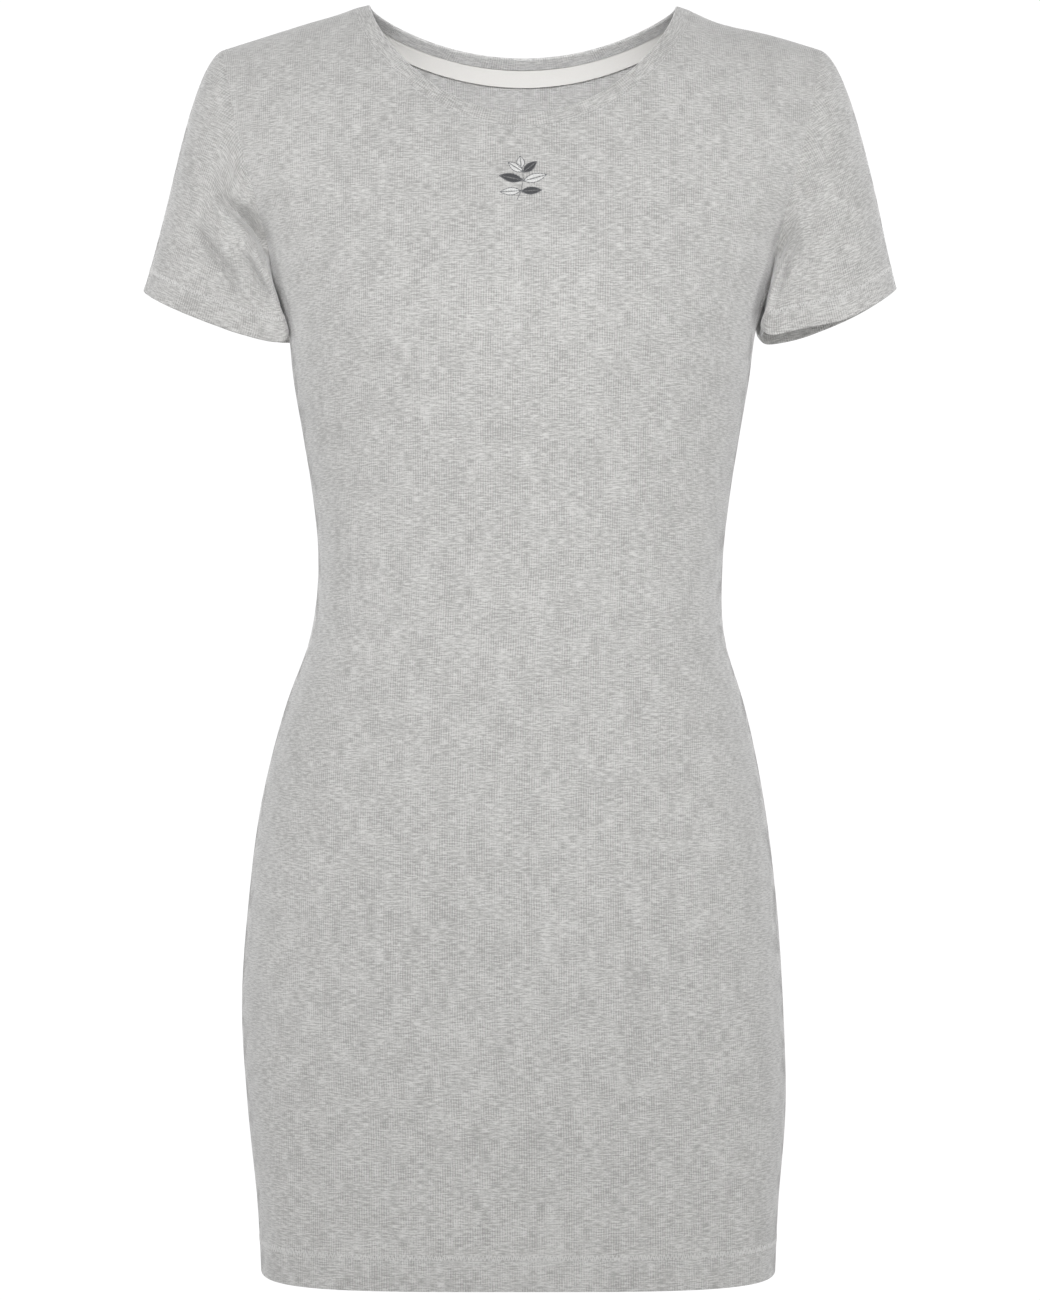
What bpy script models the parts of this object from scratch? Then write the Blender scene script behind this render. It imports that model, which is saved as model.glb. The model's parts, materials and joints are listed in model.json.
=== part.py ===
"""Short-sleeved t-shirt dress in rib jersey, filled out as worn and hollow inside.

Metres, +Z up, front towards -Y. The origin lies midway between the two high shoulder
points, where the garment hangs from its wearer; the hem is GARMENT_LENGTH below it.
Each cut piece is a cloth wall of its own, SEAM_GAP from its neighbours.
"""

from collections import namedtuple
from math import pi

import bmesh
import bpy
import numpy as np
from mathutils import Vector
from mathutils.bvhtree import BVHTree

COLLECTION_NAME = "tshirt_dress"

# Lengths along the body, measured up from the hem.
GARMENT_LENGTH = 0.801
UNDERARM_HEIGHT = 0.621
HEM_DEPTH = 0.024

# Cloth.
CLOTH_THICKNESS = 0.0014
BAND_THICKNESS = 0.0024
TAPE_THICKNESS = 0.0010
SEAM_GAP = 0.0003

# What a turned hem adds inside, in cloth thicknesses: pressed flat, it is under a full layer.
HEM_LAYER = 0.8

# Neck opening: half widths at the shoulder, and drops from the shoulder to the centre.
NECK_HALF_WIDTH = 0.098
NECK_FRONT_DROP = 0.0815
NECK_BACK_DROP = 0.0225
BAND_WIDTH = 0.009
BAND_DROP = {"front": 0.0085, "back": 0.0078}
TAPE_WIDTH = 0.0118
TAPE_TURN = np.radians(79.0)

# The neck sits a little to one side, and this fades out so far beyond it.
NECK_OFFSET = 0.0009
NECK_FADE = 0.050

# Shoulder and sleeve.
SHOULDER_HALF_WIDTH = 0.191
CUFF_CENTRE_X = 0.1955
CUFF_CENTRE_HEIGHT = 0.6032
CUFF_HALF_WIDTH = 0.0475
CUFF_HALF_DEPTH = 0.0465
CUFF_TILT = np.radians(21.0)
CUFF_SQUARENESS = 2.5
CUFF_DIP = {"left": 0.0018, "right": 0.0056}
CUFF_FRONT_DROP = {"left": 0.0050, "right": -0.0015}
CUFF_HEM_DEPTH = 0.018

# The cuffs hang a little to one side, less and less up the sleeve to this height.
CUFF_SHIFT = -0.0016
CUFF_SHIFT_TOP = 0.690

# Bust fullness: how far it stands out, where, and how wide it spreads.
BUST_FULLNESS = 0.007
BUST_X = 0.078
BUST_HEIGHT = 0.578
BUST_SPREAD_X = 0.048
BUST_SPREAD_HEIGHT = 0.042

# The right shoulder seam sags a little between neck and sleeve.
SHOULDER_SAG = 0.0031
SHOULDER_SAG_X = 0.127
SHOULDER_SAG_SPREAD = 0.024

# Mesh divisions.
NECK_COLUMNS = 9
SHOULDER_COLUMNS = 5
YOKE_ROWS = 12
SLEEVE_ROWS = 7
BAND_ROWS = 3
TAPE_COLUMNS = 15
TAPE_ROWS = 2
SKIRT_HALFWAY_ROWS = (0.070, 0.134, 0.198, 0.262, 0.326)

Section = namedtuple("Section", "height half_width front_depth back_depth squareness lean")
SECTIONS = (
    Section(0.000, 0.1620, 0.1010, 0.1010, 3.80, -0.0008),
    Section(0.038, 0.1640, 0.1025, 0.1045, 3.60, -0.0009),
    Section(0.102, 0.1702, 0.1070, 0.1120, 3.10, -0.0014),
    Section(0.166, 0.1715, 0.1110, 0.1165, 2.85, -0.0040),
    Section(0.230, 0.1676, 0.1120, 0.1120, 2.60, -0.0042),
    Section(0.294, 0.1596, 0.1090, 0.0990, 2.50, -0.0043),
    Section(0.358, 0.1448, 0.1025, 0.0870, 2.40, -0.0030),
    Section(0.396, 0.1322, 0.0980, 0.0825, 2.35, -0.0018),
    Section(0.447, 0.1287, 0.0940, 0.0805, 2.30, 0.0004),
    Section(0.486, 0.1324, 0.0955, 0.0830, 2.30, 0.0008),
    Section(0.524, 0.1384, 0.1010, 0.0885, 2.30, 0.0008),
    Section(0.563, 0.1450, 0.1080, 0.0950, 2.35, 0.0008),
    Section(0.595, 0.1492, 0.1115, 0.0990, 2.40, 0.0012),
    Section(0.621, 0.1525, 0.1120, 0.1010, 2.40, 0.0015),
    Section(0.640, 0.1640, 0.1110, 0.1020, 2.40, 0.0016),
    Section(0.660, 0.1770, 0.1090, 0.1025, 2.40, 0.0016),
    Section(0.700, 0.1950, 0.1040, 0.1025, 2.35, 0.0016),
    Section(0.740, 0.2100, 0.0990, 0.1010, 2.30, 0.0014),
    Section(0.801, 0.2250, 0.0930, 0.1000, 2.30, 0.0010),
)

# How the panels close over the shoulders: exponents of the arch, front and back.
ARCH = {"front": 1.7, "back": 2.2}

# How the neck line falls from the shoulder to the centre: powers of the cosine.
NECK_FALL = {"front": 1.43, "back": 2.0}

# Height of the shoulder seam over each distance from the centre, down from the neck point.
ShoulderPoint = namedtuple("ShoulderPoint", "height drop")
SHOULDER_SEAM = (
    ShoulderPoint(0.000, -0.0100),
    ShoulderPoint(0.050, -0.0080),
    ShoulderPoint(0.098, -0.0012),
    ShoulderPoint(0.107, 0.0010),
    ShoulderPoint(0.119, 0.0052),
    ShoulderPoint(0.136, 0.0102),
    ShoulderPoint(0.153, 0.0155),
    ShoulderPoint(0.171, 0.0212),
    ShoulderPoint(0.191, 0.0275),
)

# Half width between the armhole seams, by the share of the way from underarm to shoulder.
ArmholePoint = namedtuple("ArmholePoint", "height half_width")
ARMHOLE = (
    ArmholePoint(0.000, 0.1525),
    ArmholePoint(0.040, 0.1562),
    ArmholePoint(0.185, 0.1652),
    ArmholePoint(0.352, 0.1718),
    ArmholePoint(0.518, 0.1788),
    ArmholePoint(0.704, 0.1852),
    ArmholePoint(0.857, 0.1888),
    ArmholePoint(1.000, 0.1910),
)

# How a sleeve leaves the armhole, by its angle round it: 0 on top, 1 under the arm.
SleeveLine = namedtuple("SleeveLine", "height outward reach forward")
SLEEVE_LINES = (
    SleeveLine(0.00, 68.0, 0.070, 0.00),
    SleeveLine(0.25, 55.0, 0.068, 0.10),
    SleeveLine(0.50, 42.0, 0.055, 0.14),
    SleeveLine(0.80, 50.0, 0.040, 0.10),
    SleeveLine(1.00, 50.0, 0.022, 0.00),
)
CUFF_LEAN = np.radians(18.0)
CUFF_REACH = 0.72

# Folds pressed into the cloth, from a start to an end past a middle point, seen from the front.
Fold = namedtuple("Fold", "face x0 height0 x1 height1 x2 height2 depth width")
FOLDS = (
    Fold("front", -0.189, 0.670, -0.162, 0.634, -0.147, 0.596, 0.0090, 0.0065),
    Fold("front", 0.177, 0.650, 0.162, 0.624, 0.150, 0.592, 0.0080, 0.0065),
    Fold("front", -0.200, 0.652, -0.187, 0.632, -0.172, 0.608, 0.0026, 0.0050),
    Fold("back", -0.184, 0.664, -0.162, 0.632, -0.148, 0.598, 0.0080, 0.0065),
    Fold("back", 0.186, 0.668, 0.163, 0.634, 0.149, 0.598, 0.0085, 0.0065),
    Fold("back", 0.202, 0.648, 0.188, 0.628, 0.175, 0.608, 0.0024, 0.0050),
)
FOLD_STEPS = 24
FOLD_FADE_DEPTH = 0.030

# How quickly a fold reaches its full depth along its line.
FOLD_ONSET = 1.6

# A corner of a border moves in no further than one with this much spread.
SHARPEST_CORNER = 0.4

# How far inside the back panel the search for its wall starts.
TAPE_SEARCH = 0.012


def read_table(rows, column, at):
    """A smooth curve through one column of a table, over the rows' heights."""
    heights = np.array([row.height for row in rows])
    values = np.array([getattr(row, column) for row in rows])
    slopes = np.gradient(values, heights)
    at = np.clip(np.asarray(at, float), heights[0], heights[-1])
    low = np.clip(np.searchsorted(heights, at, side="right") - 1, 0, len(rows) - 2)
    span = heights[low + 1] - heights[low]
    t = (at - heights[low]) / span
    start = (1 + 2 * t) * (1 - t) ** 2 * values[low] + t * (1 - t) ** 2 * span * slopes[low]
    end = t * t * (3 - 2 * t) * values[low + 1] - t * t * (1 - t) * span * slopes[low + 1]
    return start + end


def smoothstep(t):
    """Rise from 0 to 1 with flat ends."""
    t = np.clip(t, 0.0, 1.0)
    return t * t * (3 - 2 * t)


def shoulder_height(x):
    """Height over the hem of the shoulder seam at a distance from the centre."""
    return GARMENT_LENGTH - read_table(SHOULDER_SEAM, "drop", np.abs(x))


def rise_of(x, height):
    """Share of the way from the underarm level to the shoulder seam."""
    return np.clip((height - UNDERARM_HEIGHT) / (shoulder_height(x) - UNDERARM_HEIGHT), 0, 1)


def bust(x, height):
    """Fullness over the bust."""
    across = np.exp(-(((np.abs(x) - BUST_X) / BUST_SPREAD_X) ** 2))
    upward = np.exp(-(((height - BUST_HEIGHT) / BUST_SPREAD_HEIGHT) ** 2))
    return BUST_FULLNESS * across * upward


def body_point(face, x, height, side_share=None):
    """Points of the body's front or back over places seen from the front."""
    half_width = read_table(SECTIONS, "half_width", height)
    depth = read_table(SECTIONS, face + "_depth", height)
    n = read_table(SECTIONS, "squareness", height)
    if side_share is None:
        side_share = (1 - np.clip(np.abs(x) / half_width, 0, 1) ** n) ** (1 / n)
    arch = (1 - rise_of(x, height) ** ARCH[face]) ** (1 / ARCH[face])
    out = depth * side_share * arch
    if face == "front":
        out = out + bust(x, height) * smoothstep(side_share * 2) * arch
    y = -out if face == "front" else out
    return np.stack(np.broadcast_arrays(x, y, height), axis=-1)


def neck_line(face, turn, outset):
    """The neck edge (outset 0) or a line that far outside it, over angles from the centre."""
    half_width = NECK_HALF_WIDTH + outset
    edge_drop = NECK_FRONT_DROP if face == "front" else NECK_BACK_DROP
    top = shoulder_height(half_width)
    bottom = shoulder_height(NECK_HALF_WIDTH) - edge_drop - outset * BAND_DROP[face] / BAND_WIDTH
    height = top - (top - bottom) * np.abs(np.cos(turn)) ** NECK_FALL[face]
    return half_width * np.sin(turn), height


def column_shares():
    """Columns from one side of a panel to the other, -1 to 1."""
    count = NECK_COLUMNS + SHOULDER_COLUMNS
    return np.arange(-count, count + 1) / count


def top_line(face, share):
    """A panel's top edge: the neck seam, then the shoulder seam."""
    neck_share = NECK_COLUMNS / (NECK_COLUMNS + SHOULDER_COLUMNS)
    turn = np.clip(share / neck_share, -1, 1) * pi / 2
    x, height = neck_line(face, turn, BAND_WIDTH)
    along = np.clip((np.abs(share) - neck_share) / (1 - neck_share), 0, 1)
    start = NECK_HALF_WIDTH + BAND_WIDTH
    on_shoulder = np.abs(share) > neck_share
    shoulder_x = np.sign(share) * (start + along * (SHOULDER_HALF_WIDTH - start))
    x = np.where(on_shoulder, shoulder_x, x)
    return x, np.where(on_shoulder, shoulder_height(x), height)


def skirt_grid(face):
    """Rows of a panel from the hem to the underarm level."""
    hem_rows = np.array([0.0, 0.5 * HEM_DEPTH, HEM_DEPTH, HEM_DEPTH + CLOTH_THICKNESS])
    heights = np.array([row.height for row in SECTIONS])
    between = heights[(heights > HEM_DEPTH) & (heights <= UNDERARM_HEIGHT)]
    upward = np.sort(np.concatenate([hem_rows, between, SKIRT_HALFWAY_ROWS]))
    height = upward[:, None]
    turn = column_shares()[None, :] * pi / 2
    n = read_table(SECTIONS, "squareness", height)
    half_width = read_table(SECTIONS, "half_width", height)
    x = half_width * np.sign(turn) * np.abs(np.sin(turn)) ** (2 / n)
    side_share = np.where(np.abs(turn) > pi / 2 - 1e-6, 0.0, np.abs(np.cos(turn)) ** (2 / n))
    return body_point(face, x, np.broadcast_to(height, x.shape), side_share)


def yoke_grid(face):
    """Rows of a panel from above the underarm level to the neck and shoulder seams."""
    climb = np.arange(1, YOKE_ROWS + 1)[:, None] / YOKE_ROWS
    share = column_shares()[None, :]
    power = ARCH[face] / 2
    top_x, top_height = top_line(face, share)
    top_angle = np.arcsin(rise_of(top_x, top_height) ** power)
    rise = np.sin(climb * top_angle) ** (1 / power)
    armhole_rise = np.sin(climb * pi / 2) ** (1 / power)
    n = read_table(SECTIONS, "squareness", UNDERARM_HEIGHT)
    low_share = np.sign(share) * np.abs(np.sin(share * pi / 2)) ** (2 / n)
    high_share = top_x / SHOULDER_HALF_WIDTH
    across = low_share + climb * (high_share - low_share)
    x = across * read_table(ARMHOLE, "half_width", armhole_rise)
    height = UNDERARM_HEIGHT + rise * (shoulder_height(x) - UNDERARM_HEIGHT)
    return body_point(face, x, height)


def panel_grid(face):
    """The middle of a panel's wall, hem to shoulder, columns running round the body."""
    grid = np.concatenate([skirt_grid(face), yoke_grid(face)])
    return grid if face == "front" else grid[:, ::-1]


def armhole_ring(front, back):
    """The right armhole: from the shoulder down the front, under the arm and up the back."""
    foot = len(front) - 1 - YOKE_ROWS
    down = front[foot:, -1][::-1]
    up = back[foot + 1 : -1, 0]
    return np.concatenate([down, up]), len(down) - 1


def cuff_shares(ring, under):
    """Share of half a turn round the sleeve for each point of its armhole, 0 on top."""
    steps = np.linalg.norm(np.roll(ring, -1, axis=0) - ring, axis=1)
    front = np.concatenate([[0], np.cumsum(steps[:under])])
    back = np.cumsum(steps[under:][::-1])[::-1][1:]
    return np.concatenate([front / front[-1], back / steps[under:].sum()])


def sleeve_grid(side, ring, under):
    """Rows of one sleeve from its armhole to its cuff, drawn at the right of the body."""
    shares = cuff_shares(ring, under)
    face = np.where(np.arange(len(ring)) <= under, -1.0, 1.0)
    angle = shares * pi
    out = CUFF_HALF_WIDTH * np.sign(np.cos(angle)) * np.abs(np.cos(angle)) ** (2 / CUFF_SQUARENESS)
    deep = np.abs(np.sin(angle)) ** (2 / CUFF_SQUARENESS)
    drop = CUFF_DIP[side] * np.sin(angle) ** 2 + CUFF_FRONT_DROP[side] * deep * (face < 0)
    cuff = np.stack(
        [
            CUFF_CENTRE_X + out * np.cos(CUFF_TILT),
            face * CUFF_HALF_DEPTH * deep,
            CUFF_CENTRE_HEIGHT + out * np.sin(CUFF_TILT) - drop,
        ],
        axis=-1,
    )
    lean = np.radians(read_table(SLEEVE_LINES, "outward", shares))
    forward = face * read_table(SLEEVE_LINES, "forward", shares)
    leave = np.stack([np.sin(lean), forward, -np.cos(lean)], axis=-1)
    leave = leave * read_table(SLEEVE_LINES, "reach", shares)[:, None]
    length = np.linalg.norm(cuff - ring, axis=1)[:, None]
    arrive = np.array([np.sin(CUFF_LEAN), 0.0, -np.cos(CUFF_LEAN)]) * length * CUFF_REACH
    hem_start = 1 - CUFF_HEM_DEPTH / np.maximum(length[:, 0], 2 * CUFF_HEM_DEPTH)
    rows = []
    for row in range(SLEEVE_ROWS):
        rows.append(row / (SLEEVE_ROWS - 1) * (hem_start - CLOTH_THICKNESS / length[:, 0]))
    rows.append(hem_start)
    rows.append(0.5 + 0.5 * hem_start)
    rows.append(np.ones(len(ring)))
    t = np.array(rows)[:, :, None]
    start = (1 + 2 * t) * (1 - t) ** 2 * ring + t * (1 - t) ** 2 * leave
    end = t * t * (3 - 2 * t) * cuff - t * t * (1 - t) * arrive
    return start + end


def band_grid():
    """Rows of the neckband from its seam to its free edge, columns round the neck."""
    turn = np.arange(-NECK_COLUMNS, NECK_COLUMNS + 1) / NECK_COLUMNS * pi / 2
    rows = []
    for row in range(BAND_ROWS + 1):
        outset = BAND_WIDTH * (1 - row / BAND_ROWS)
        front = body_point("front", *neck_line("front", turn, outset))
        back = body_point("back", *neck_line("back", turn[::-1], outset))
        rows.append(np.concatenate([front, back[1:-1]]))
    return np.array(rows)


def tape_grid():
    """Rows of the neck tape from its lower edge up, on the back panel below the band."""
    turn = np.arange(-TAPE_COLUMNS, TAPE_COLUMNS + 1) / TAPE_COLUMNS * TAPE_TURN
    rows = []
    for row in range(TAPE_ROWS + 1):
        outset = BAND_WIDTH + SEAM_GAP + TAPE_WIDTH * (1 - row / TAPE_ROWS)
        rows.append(body_point("back", *neck_line("back", turn[::-1], outset)))
    return np.array(rows)


def fold_depth(fold, points):
    """How far one fold presses in at each point."""
    t = np.linspace(0, 1, FOLD_STEPS)
    line_x = (1 - t) ** 2 * fold.x0 + 2 * t * (1 - t) * fold.x1 + t * t * fold.x2
    line_h = (1 - t) ** 2 * fold.height0 + 2 * t * (1 - t) * fold.height1 + t * t * fold.height2
    away_x = points[..., 0, None] - line_x
    away_h = points[..., 2, None] - line_h
    away = away_x**2 + away_h**2
    nearest = np.argmin(away, axis=-1)
    along = smoothstep(t[nearest] * FOLD_ONSET)
    profile = np.exp(-np.min(away, axis=-1) / fold.width**2)
    return fold.depth * profile * along


def settle(points):
    """Press the folds in, lean the garment, cuffs and neck as they hang, and place the origin."""
    placed = points.copy()
    for fold in FOLDS:
        outward = -points[..., 1] if fold.face == "front" else points[..., 1]
        reach = smoothstep(outward / FOLD_FADE_DEPTH)
        inward = fold_depth(fold, points) * reach
        placed[..., 1] += inward if fold.face == "front" else -inward
    placed[..., 0] += read_table(SECTIONS, "lean", points[..., 2])
    cuffward = smoothstep((CUFF_SHIFT_TOP - points[..., 2]) / (CUFF_SHIFT_TOP - CUFF_CENTRE_HEIGHT))
    cuffward = cuffward * smoothstep((np.abs(points[..., 0]) - CUFF_CENTRE_X) / CUFF_HALF_WIDTH + 1)
    placed[..., 0] += CUFF_SHIFT * cuffward
    neckward = smoothstep((NECK_HALF_WIDTH + NECK_FADE - np.abs(points[..., 0])) / NECK_FADE)
    neckward = neckward * smoothstep(rise_of(points[..., 0], points[..., 2]) * 1.5)
    placed[..., 0] += NECK_OFFSET * neckward
    sag = np.exp(-(((points[..., 0] - SHOULDER_SAG_X) / SHOULDER_SAG_SPREAD) ** 2))
    placed[..., 2] -= SHOULDER_SAG * sag * rise_of(points[..., 0], points[..., 2]) ** 2
    placed[..., 2] -= GARMENT_LENGTH
    return placed


def unit(vectors):
    """Vectors scaled to length 1."""
    return vectors / np.maximum(np.linalg.norm(vectors, axis=-1, keepdims=True), 1e-12)


def grid_normals(grid, ring):
    """Outward normals of a grid, whose columns close into a ring or not."""
    if ring:
        around = np.roll(grid, -1, axis=1) - np.roll(grid, 1, axis=1)
    else:
        around = np.gradient(grid, axis=1)
    return unit(np.cross(around, np.gradient(grid, axis=0)))


def seam_key(point):
    """A name for a place where pieces meet."""
    return tuple(np.round(point * 1e5).astype(int))


def share_seam_normals(grids, normals):
    """Give pieces the same normals where their borders meet, so that their rims stay parallel."""
    sums = {}
    for name, grid in grids.items():
        for index in np.ndindex(grid.shape[:2]):
            key = seam_key(grid[index])
            sums[key] = sums.get(key, 0) + normals[name][index]
    for name, grid in grids.items():
        for index in np.ndindex(grid.shape[:2]):
            normals[name][index] = unit(sums[seam_key(grid[index])])


def inset_loop(points, normals):
    """Move a closed border into its piece by half the seam gap."""
    before = unit(points - np.roll(points, 1, axis=0))
    after = np.roll(before, -1, axis=0)
    inward_before = unit(np.cross(normals, before))
    inward_after = unit(np.cross(normals, after))
    spread = 1 + np.sum(inward_before * inward_after, axis=1, keepdims=True)
    inward = (inward_before + inward_after) / np.maximum(spread, SHARPEST_CORNER)
    return points + inward * SEAM_GAP / 2


def inset_sheet(grid, normals):
    """Inset the border of a sheet: up the right side, along the top, down the left side."""
    rows, columns = grid.shape[:2]
    loop = [(0, c) for c in range(columns)]
    loop += [(r, columns - 1) for r in range(1, rows)]
    loop += [(rows - 1, c) for c in range(columns - 2, -1, -1)]
    loop += [(r, 0) for r in range(rows - 2, 0, -1)]
    index = tuple(np.array(loop).T)
    moved = grid.copy()
    moved[index] = inset_loop(grid[index], normals[index])
    return moved


def inset_ring(grid):
    """Inset the two borders of a ring of cloth."""
    moved = grid.copy()
    moved[0] += unit(grid[1] - grid[0]) * SEAM_GAP / 2
    moved[-1] += unit(grid[-2] - grid[-1]) * SEAM_GAP / 2
    return moved


def wall_faces(rows, columns, ring):
    """Faces of a closed wall: its outside, its inside and the rims between them."""
    across = columns if ring else columns - 1
    inside = rows * columns
    faces = []
    for r in range(rows - 1):
        for c in range(across):
            d = (c + 1) % columns
            quad = (r * columns + c, r * columns + d, (r + 1) * columns + d, (r + 1) * columns + c)
            faces.append(quad)
            faces.append(tuple(inside + v for v in reversed(quad)))
    for c in range(across):
        d = (c + 1) % columns
        faces.append((d, c, inside + c, inside + d))
        top = (rows - 1) * columns
        faces.append((top + c, top + d, inside + top + d, inside + top + c))
    if not ring:
        for r in range(rows - 1):
            low, high = r * columns, (r + 1) * columns
            faces.append((low, high, inside + high, inside + low))
            low, high = low + columns - 1, high + columns - 1
            faces.append((high, low, inside + low, inside + high))
    return faces


def make_wall(name, grid, normals, outer, inner, ring, material, collection):
    """One piece of cloth: a wall round the grid, outer and inner metres to each side of it."""
    outside = grid + normals * outer[:, None, None]
    inside = grid - normals * inner[:, None, None]
    vertices = np.concatenate([outside.reshape(-1, 3), inside.reshape(-1, 3)])
    mesh = bpy.data.meshes.new(name)
    mesh.from_pydata(vertices.tolist(), [], wall_faces(grid.shape[0], grid.shape[1], ring))
    shape = bmesh.new()
    shape.from_mesh(mesh)
    bmesh.ops.triangulate(shape, faces=shape.faces, quad_method="SHORT_EDGE")
    shape.to_mesh(mesh)
    shape.free()
    mesh.shade_smooth()
    mesh.set_sharp_from_angle(angle=np.radians(50))
    mesh.materials.append(material)
    piece = bpy.data.objects.new(name, mesh)
    collection.objects.link(piece)
    return piece


def lay_on(grid, normals, panel, gap):
    """Bring a grid to the inside of a panel's wall, so far off it."""
    vertices = [vertex.co for vertex in panel.data.vertices]
    faces = [tuple(face.vertices) for face in panel.data.polygons]
    tree = BVHTree.FromPolygons(vertices, faces)
    laid = grid.copy()
    for index in np.ndindex(grid.shape[:2]):
        normal = Vector(normals[index])
        hit = tree.ray_cast(Vector(grid[index]) - normal * TAPE_SEARCH, normal)[0]
        laid[index] = hit - normal * gap
    return laid


def cloth_material(name, colour, roughness):
    """A plain cloth finish."""
    material = bpy.data.materials.new(name)
    material.use_nodes = True
    shader = material.node_tree.nodes["Principled BSDF"]
    shader.inputs["Base Color"].default_value = (*colour, 1.0)
    shader.inputs["Roughness"].default_value = roughness
    shader.inputs["Metallic"].default_value = 0.0
    return material


def clear_scene():
    """Remove what the scene holds."""
    for item in list(bpy.data.objects):
        bpy.data.objects.remove(item, do_unlink=True)


def hem_layers(grid, hem_rows, from_top):
    """Inner half thickness of each row: two layers of cloth in the turned hem."""
    inner = np.full(grid.shape[0], CLOTH_THICKNESS / 2)
    if from_top:
        inner[-hem_rows:] += CLOTH_THICKNESS * HEM_LAYER
    else:
        inner[:hem_rows] += CLOTH_THICKNESS * HEM_LAYER
    return inner


def main():
    """Build the dress."""
    clear_scene()
    collection = bpy.data.collections.new(COLLECTION_NAME)
    bpy.context.scene.collection.children.link(collection)

    front = panel_grid("front")
    back = panel_grid("back")
    ring, under = armhole_ring(front, back)
    right_sleeve = sleeve_grid("right", ring, under)
    left_sleeve = sleeve_grid("left", ring, under)[:, ::-1] * np.array([-1.0, 1.0, 1.0])
    grids = {
        "front": settle(front),
        "back": settle(back),
        "sleeve_right": settle(right_sleeve),
        "sleeve_left": settle(left_sleeve),
        "neckband": settle(band_grid()),
    }
    rings = {"sleeve_right", "sleeve_left", "neckband"}
    normals = {name: grid_normals(grid, name in rings) for name, grid in grids.items()}
    share_seam_normals(grids, normals)
    half = CLOTH_THICKNESS / 2
    pieces = {}

    for name, grid in grids.items():
        colour = (0.52, 0.52, 0.53) if name == "neckband" else (0.50, 0.50, 0.51)
        material = cloth_material(name + "_jersey", colour, 0.92)
        outer = np.full(grid.shape[0], half)
        if name == "neckband":
            outer = np.full(grid.shape[0], BAND_THICKNESS / 2)
            outer[-1] = BAND_THICKNESS / 4
            inner = outer
        elif name in rings:
            inner = hem_layers(grid, 3, True)
        else:
            inner = hem_layers(grid, 3, False)
        placed = inset_ring(grid) if name in rings else inset_sheet(grid, normals[name])
        ring_piece = name in rings
        pieces[name] = make_wall(
            name, placed, normals[name], outer, inner, ring_piece, material, collection
        )

    tape = settle(tape_grid())
    tape_normals = grid_normals(tape, False)
    gap = SEAM_GAP + TAPE_THICKNESS / 2
    tape = lay_on(tape, tape_normals, pieces["back"], gap)
    layers = np.full(tape.shape[0], TAPE_THICKNESS / 2)
    material = cloth_material("tape_twill", (0.85, 0.84, 0.82), 0.8)
    make_wall("neck_tape", tape, tape_normals, layers, layers, False, material, collection)


main()
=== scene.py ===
"""Finished look of a short-sleeved t-shirt dress in heather grey rib jersey.

Metres, +Z up, front towards -Y. Each cut piece is a thin sheet of cloth on the form of its
solid, with turned seam allowances, folded hems, creases at the armpits and its sewing.
"""

from __future__ import annotations

import json
import logging
from dataclasses import dataclass, field, replace
from enum import Enum
from math import cos, pi, radians, sin
from typing import Any, Callable, Sequence

import bmesh
import bpy
import numpy as np
from mathutils import Matrix, Vector
from mathutils.bvhtree import BVHTree

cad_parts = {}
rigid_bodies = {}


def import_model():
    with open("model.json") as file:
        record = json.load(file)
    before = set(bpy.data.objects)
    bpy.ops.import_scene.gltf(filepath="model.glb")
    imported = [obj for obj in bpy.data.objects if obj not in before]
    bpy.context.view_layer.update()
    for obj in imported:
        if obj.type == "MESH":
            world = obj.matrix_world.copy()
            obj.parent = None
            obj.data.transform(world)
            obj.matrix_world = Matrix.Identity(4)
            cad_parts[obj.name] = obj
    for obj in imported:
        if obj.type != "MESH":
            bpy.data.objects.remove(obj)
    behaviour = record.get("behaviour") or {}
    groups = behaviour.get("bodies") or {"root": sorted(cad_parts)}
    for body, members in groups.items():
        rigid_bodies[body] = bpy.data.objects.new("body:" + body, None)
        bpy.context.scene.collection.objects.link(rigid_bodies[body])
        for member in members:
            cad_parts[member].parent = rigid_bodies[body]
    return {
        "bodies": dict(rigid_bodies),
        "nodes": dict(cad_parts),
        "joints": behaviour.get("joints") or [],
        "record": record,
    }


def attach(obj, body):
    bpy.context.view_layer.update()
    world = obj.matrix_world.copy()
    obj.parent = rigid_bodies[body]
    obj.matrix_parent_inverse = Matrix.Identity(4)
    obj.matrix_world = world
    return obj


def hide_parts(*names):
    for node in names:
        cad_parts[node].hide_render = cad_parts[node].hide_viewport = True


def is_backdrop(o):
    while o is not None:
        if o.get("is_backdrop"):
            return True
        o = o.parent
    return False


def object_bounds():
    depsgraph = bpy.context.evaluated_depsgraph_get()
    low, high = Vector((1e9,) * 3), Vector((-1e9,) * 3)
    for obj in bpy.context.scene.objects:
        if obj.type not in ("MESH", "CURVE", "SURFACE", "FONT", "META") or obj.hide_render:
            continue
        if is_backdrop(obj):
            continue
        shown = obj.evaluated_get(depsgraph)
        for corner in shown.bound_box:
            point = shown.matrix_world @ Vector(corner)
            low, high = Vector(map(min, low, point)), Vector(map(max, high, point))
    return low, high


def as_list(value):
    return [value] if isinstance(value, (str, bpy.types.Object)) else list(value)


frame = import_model()
CAD_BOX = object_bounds()
LOG = logging.getLogger("dress")

Array = np.ndarray
MM = 0.001
CLOTH_MAP = "cloth"


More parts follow.
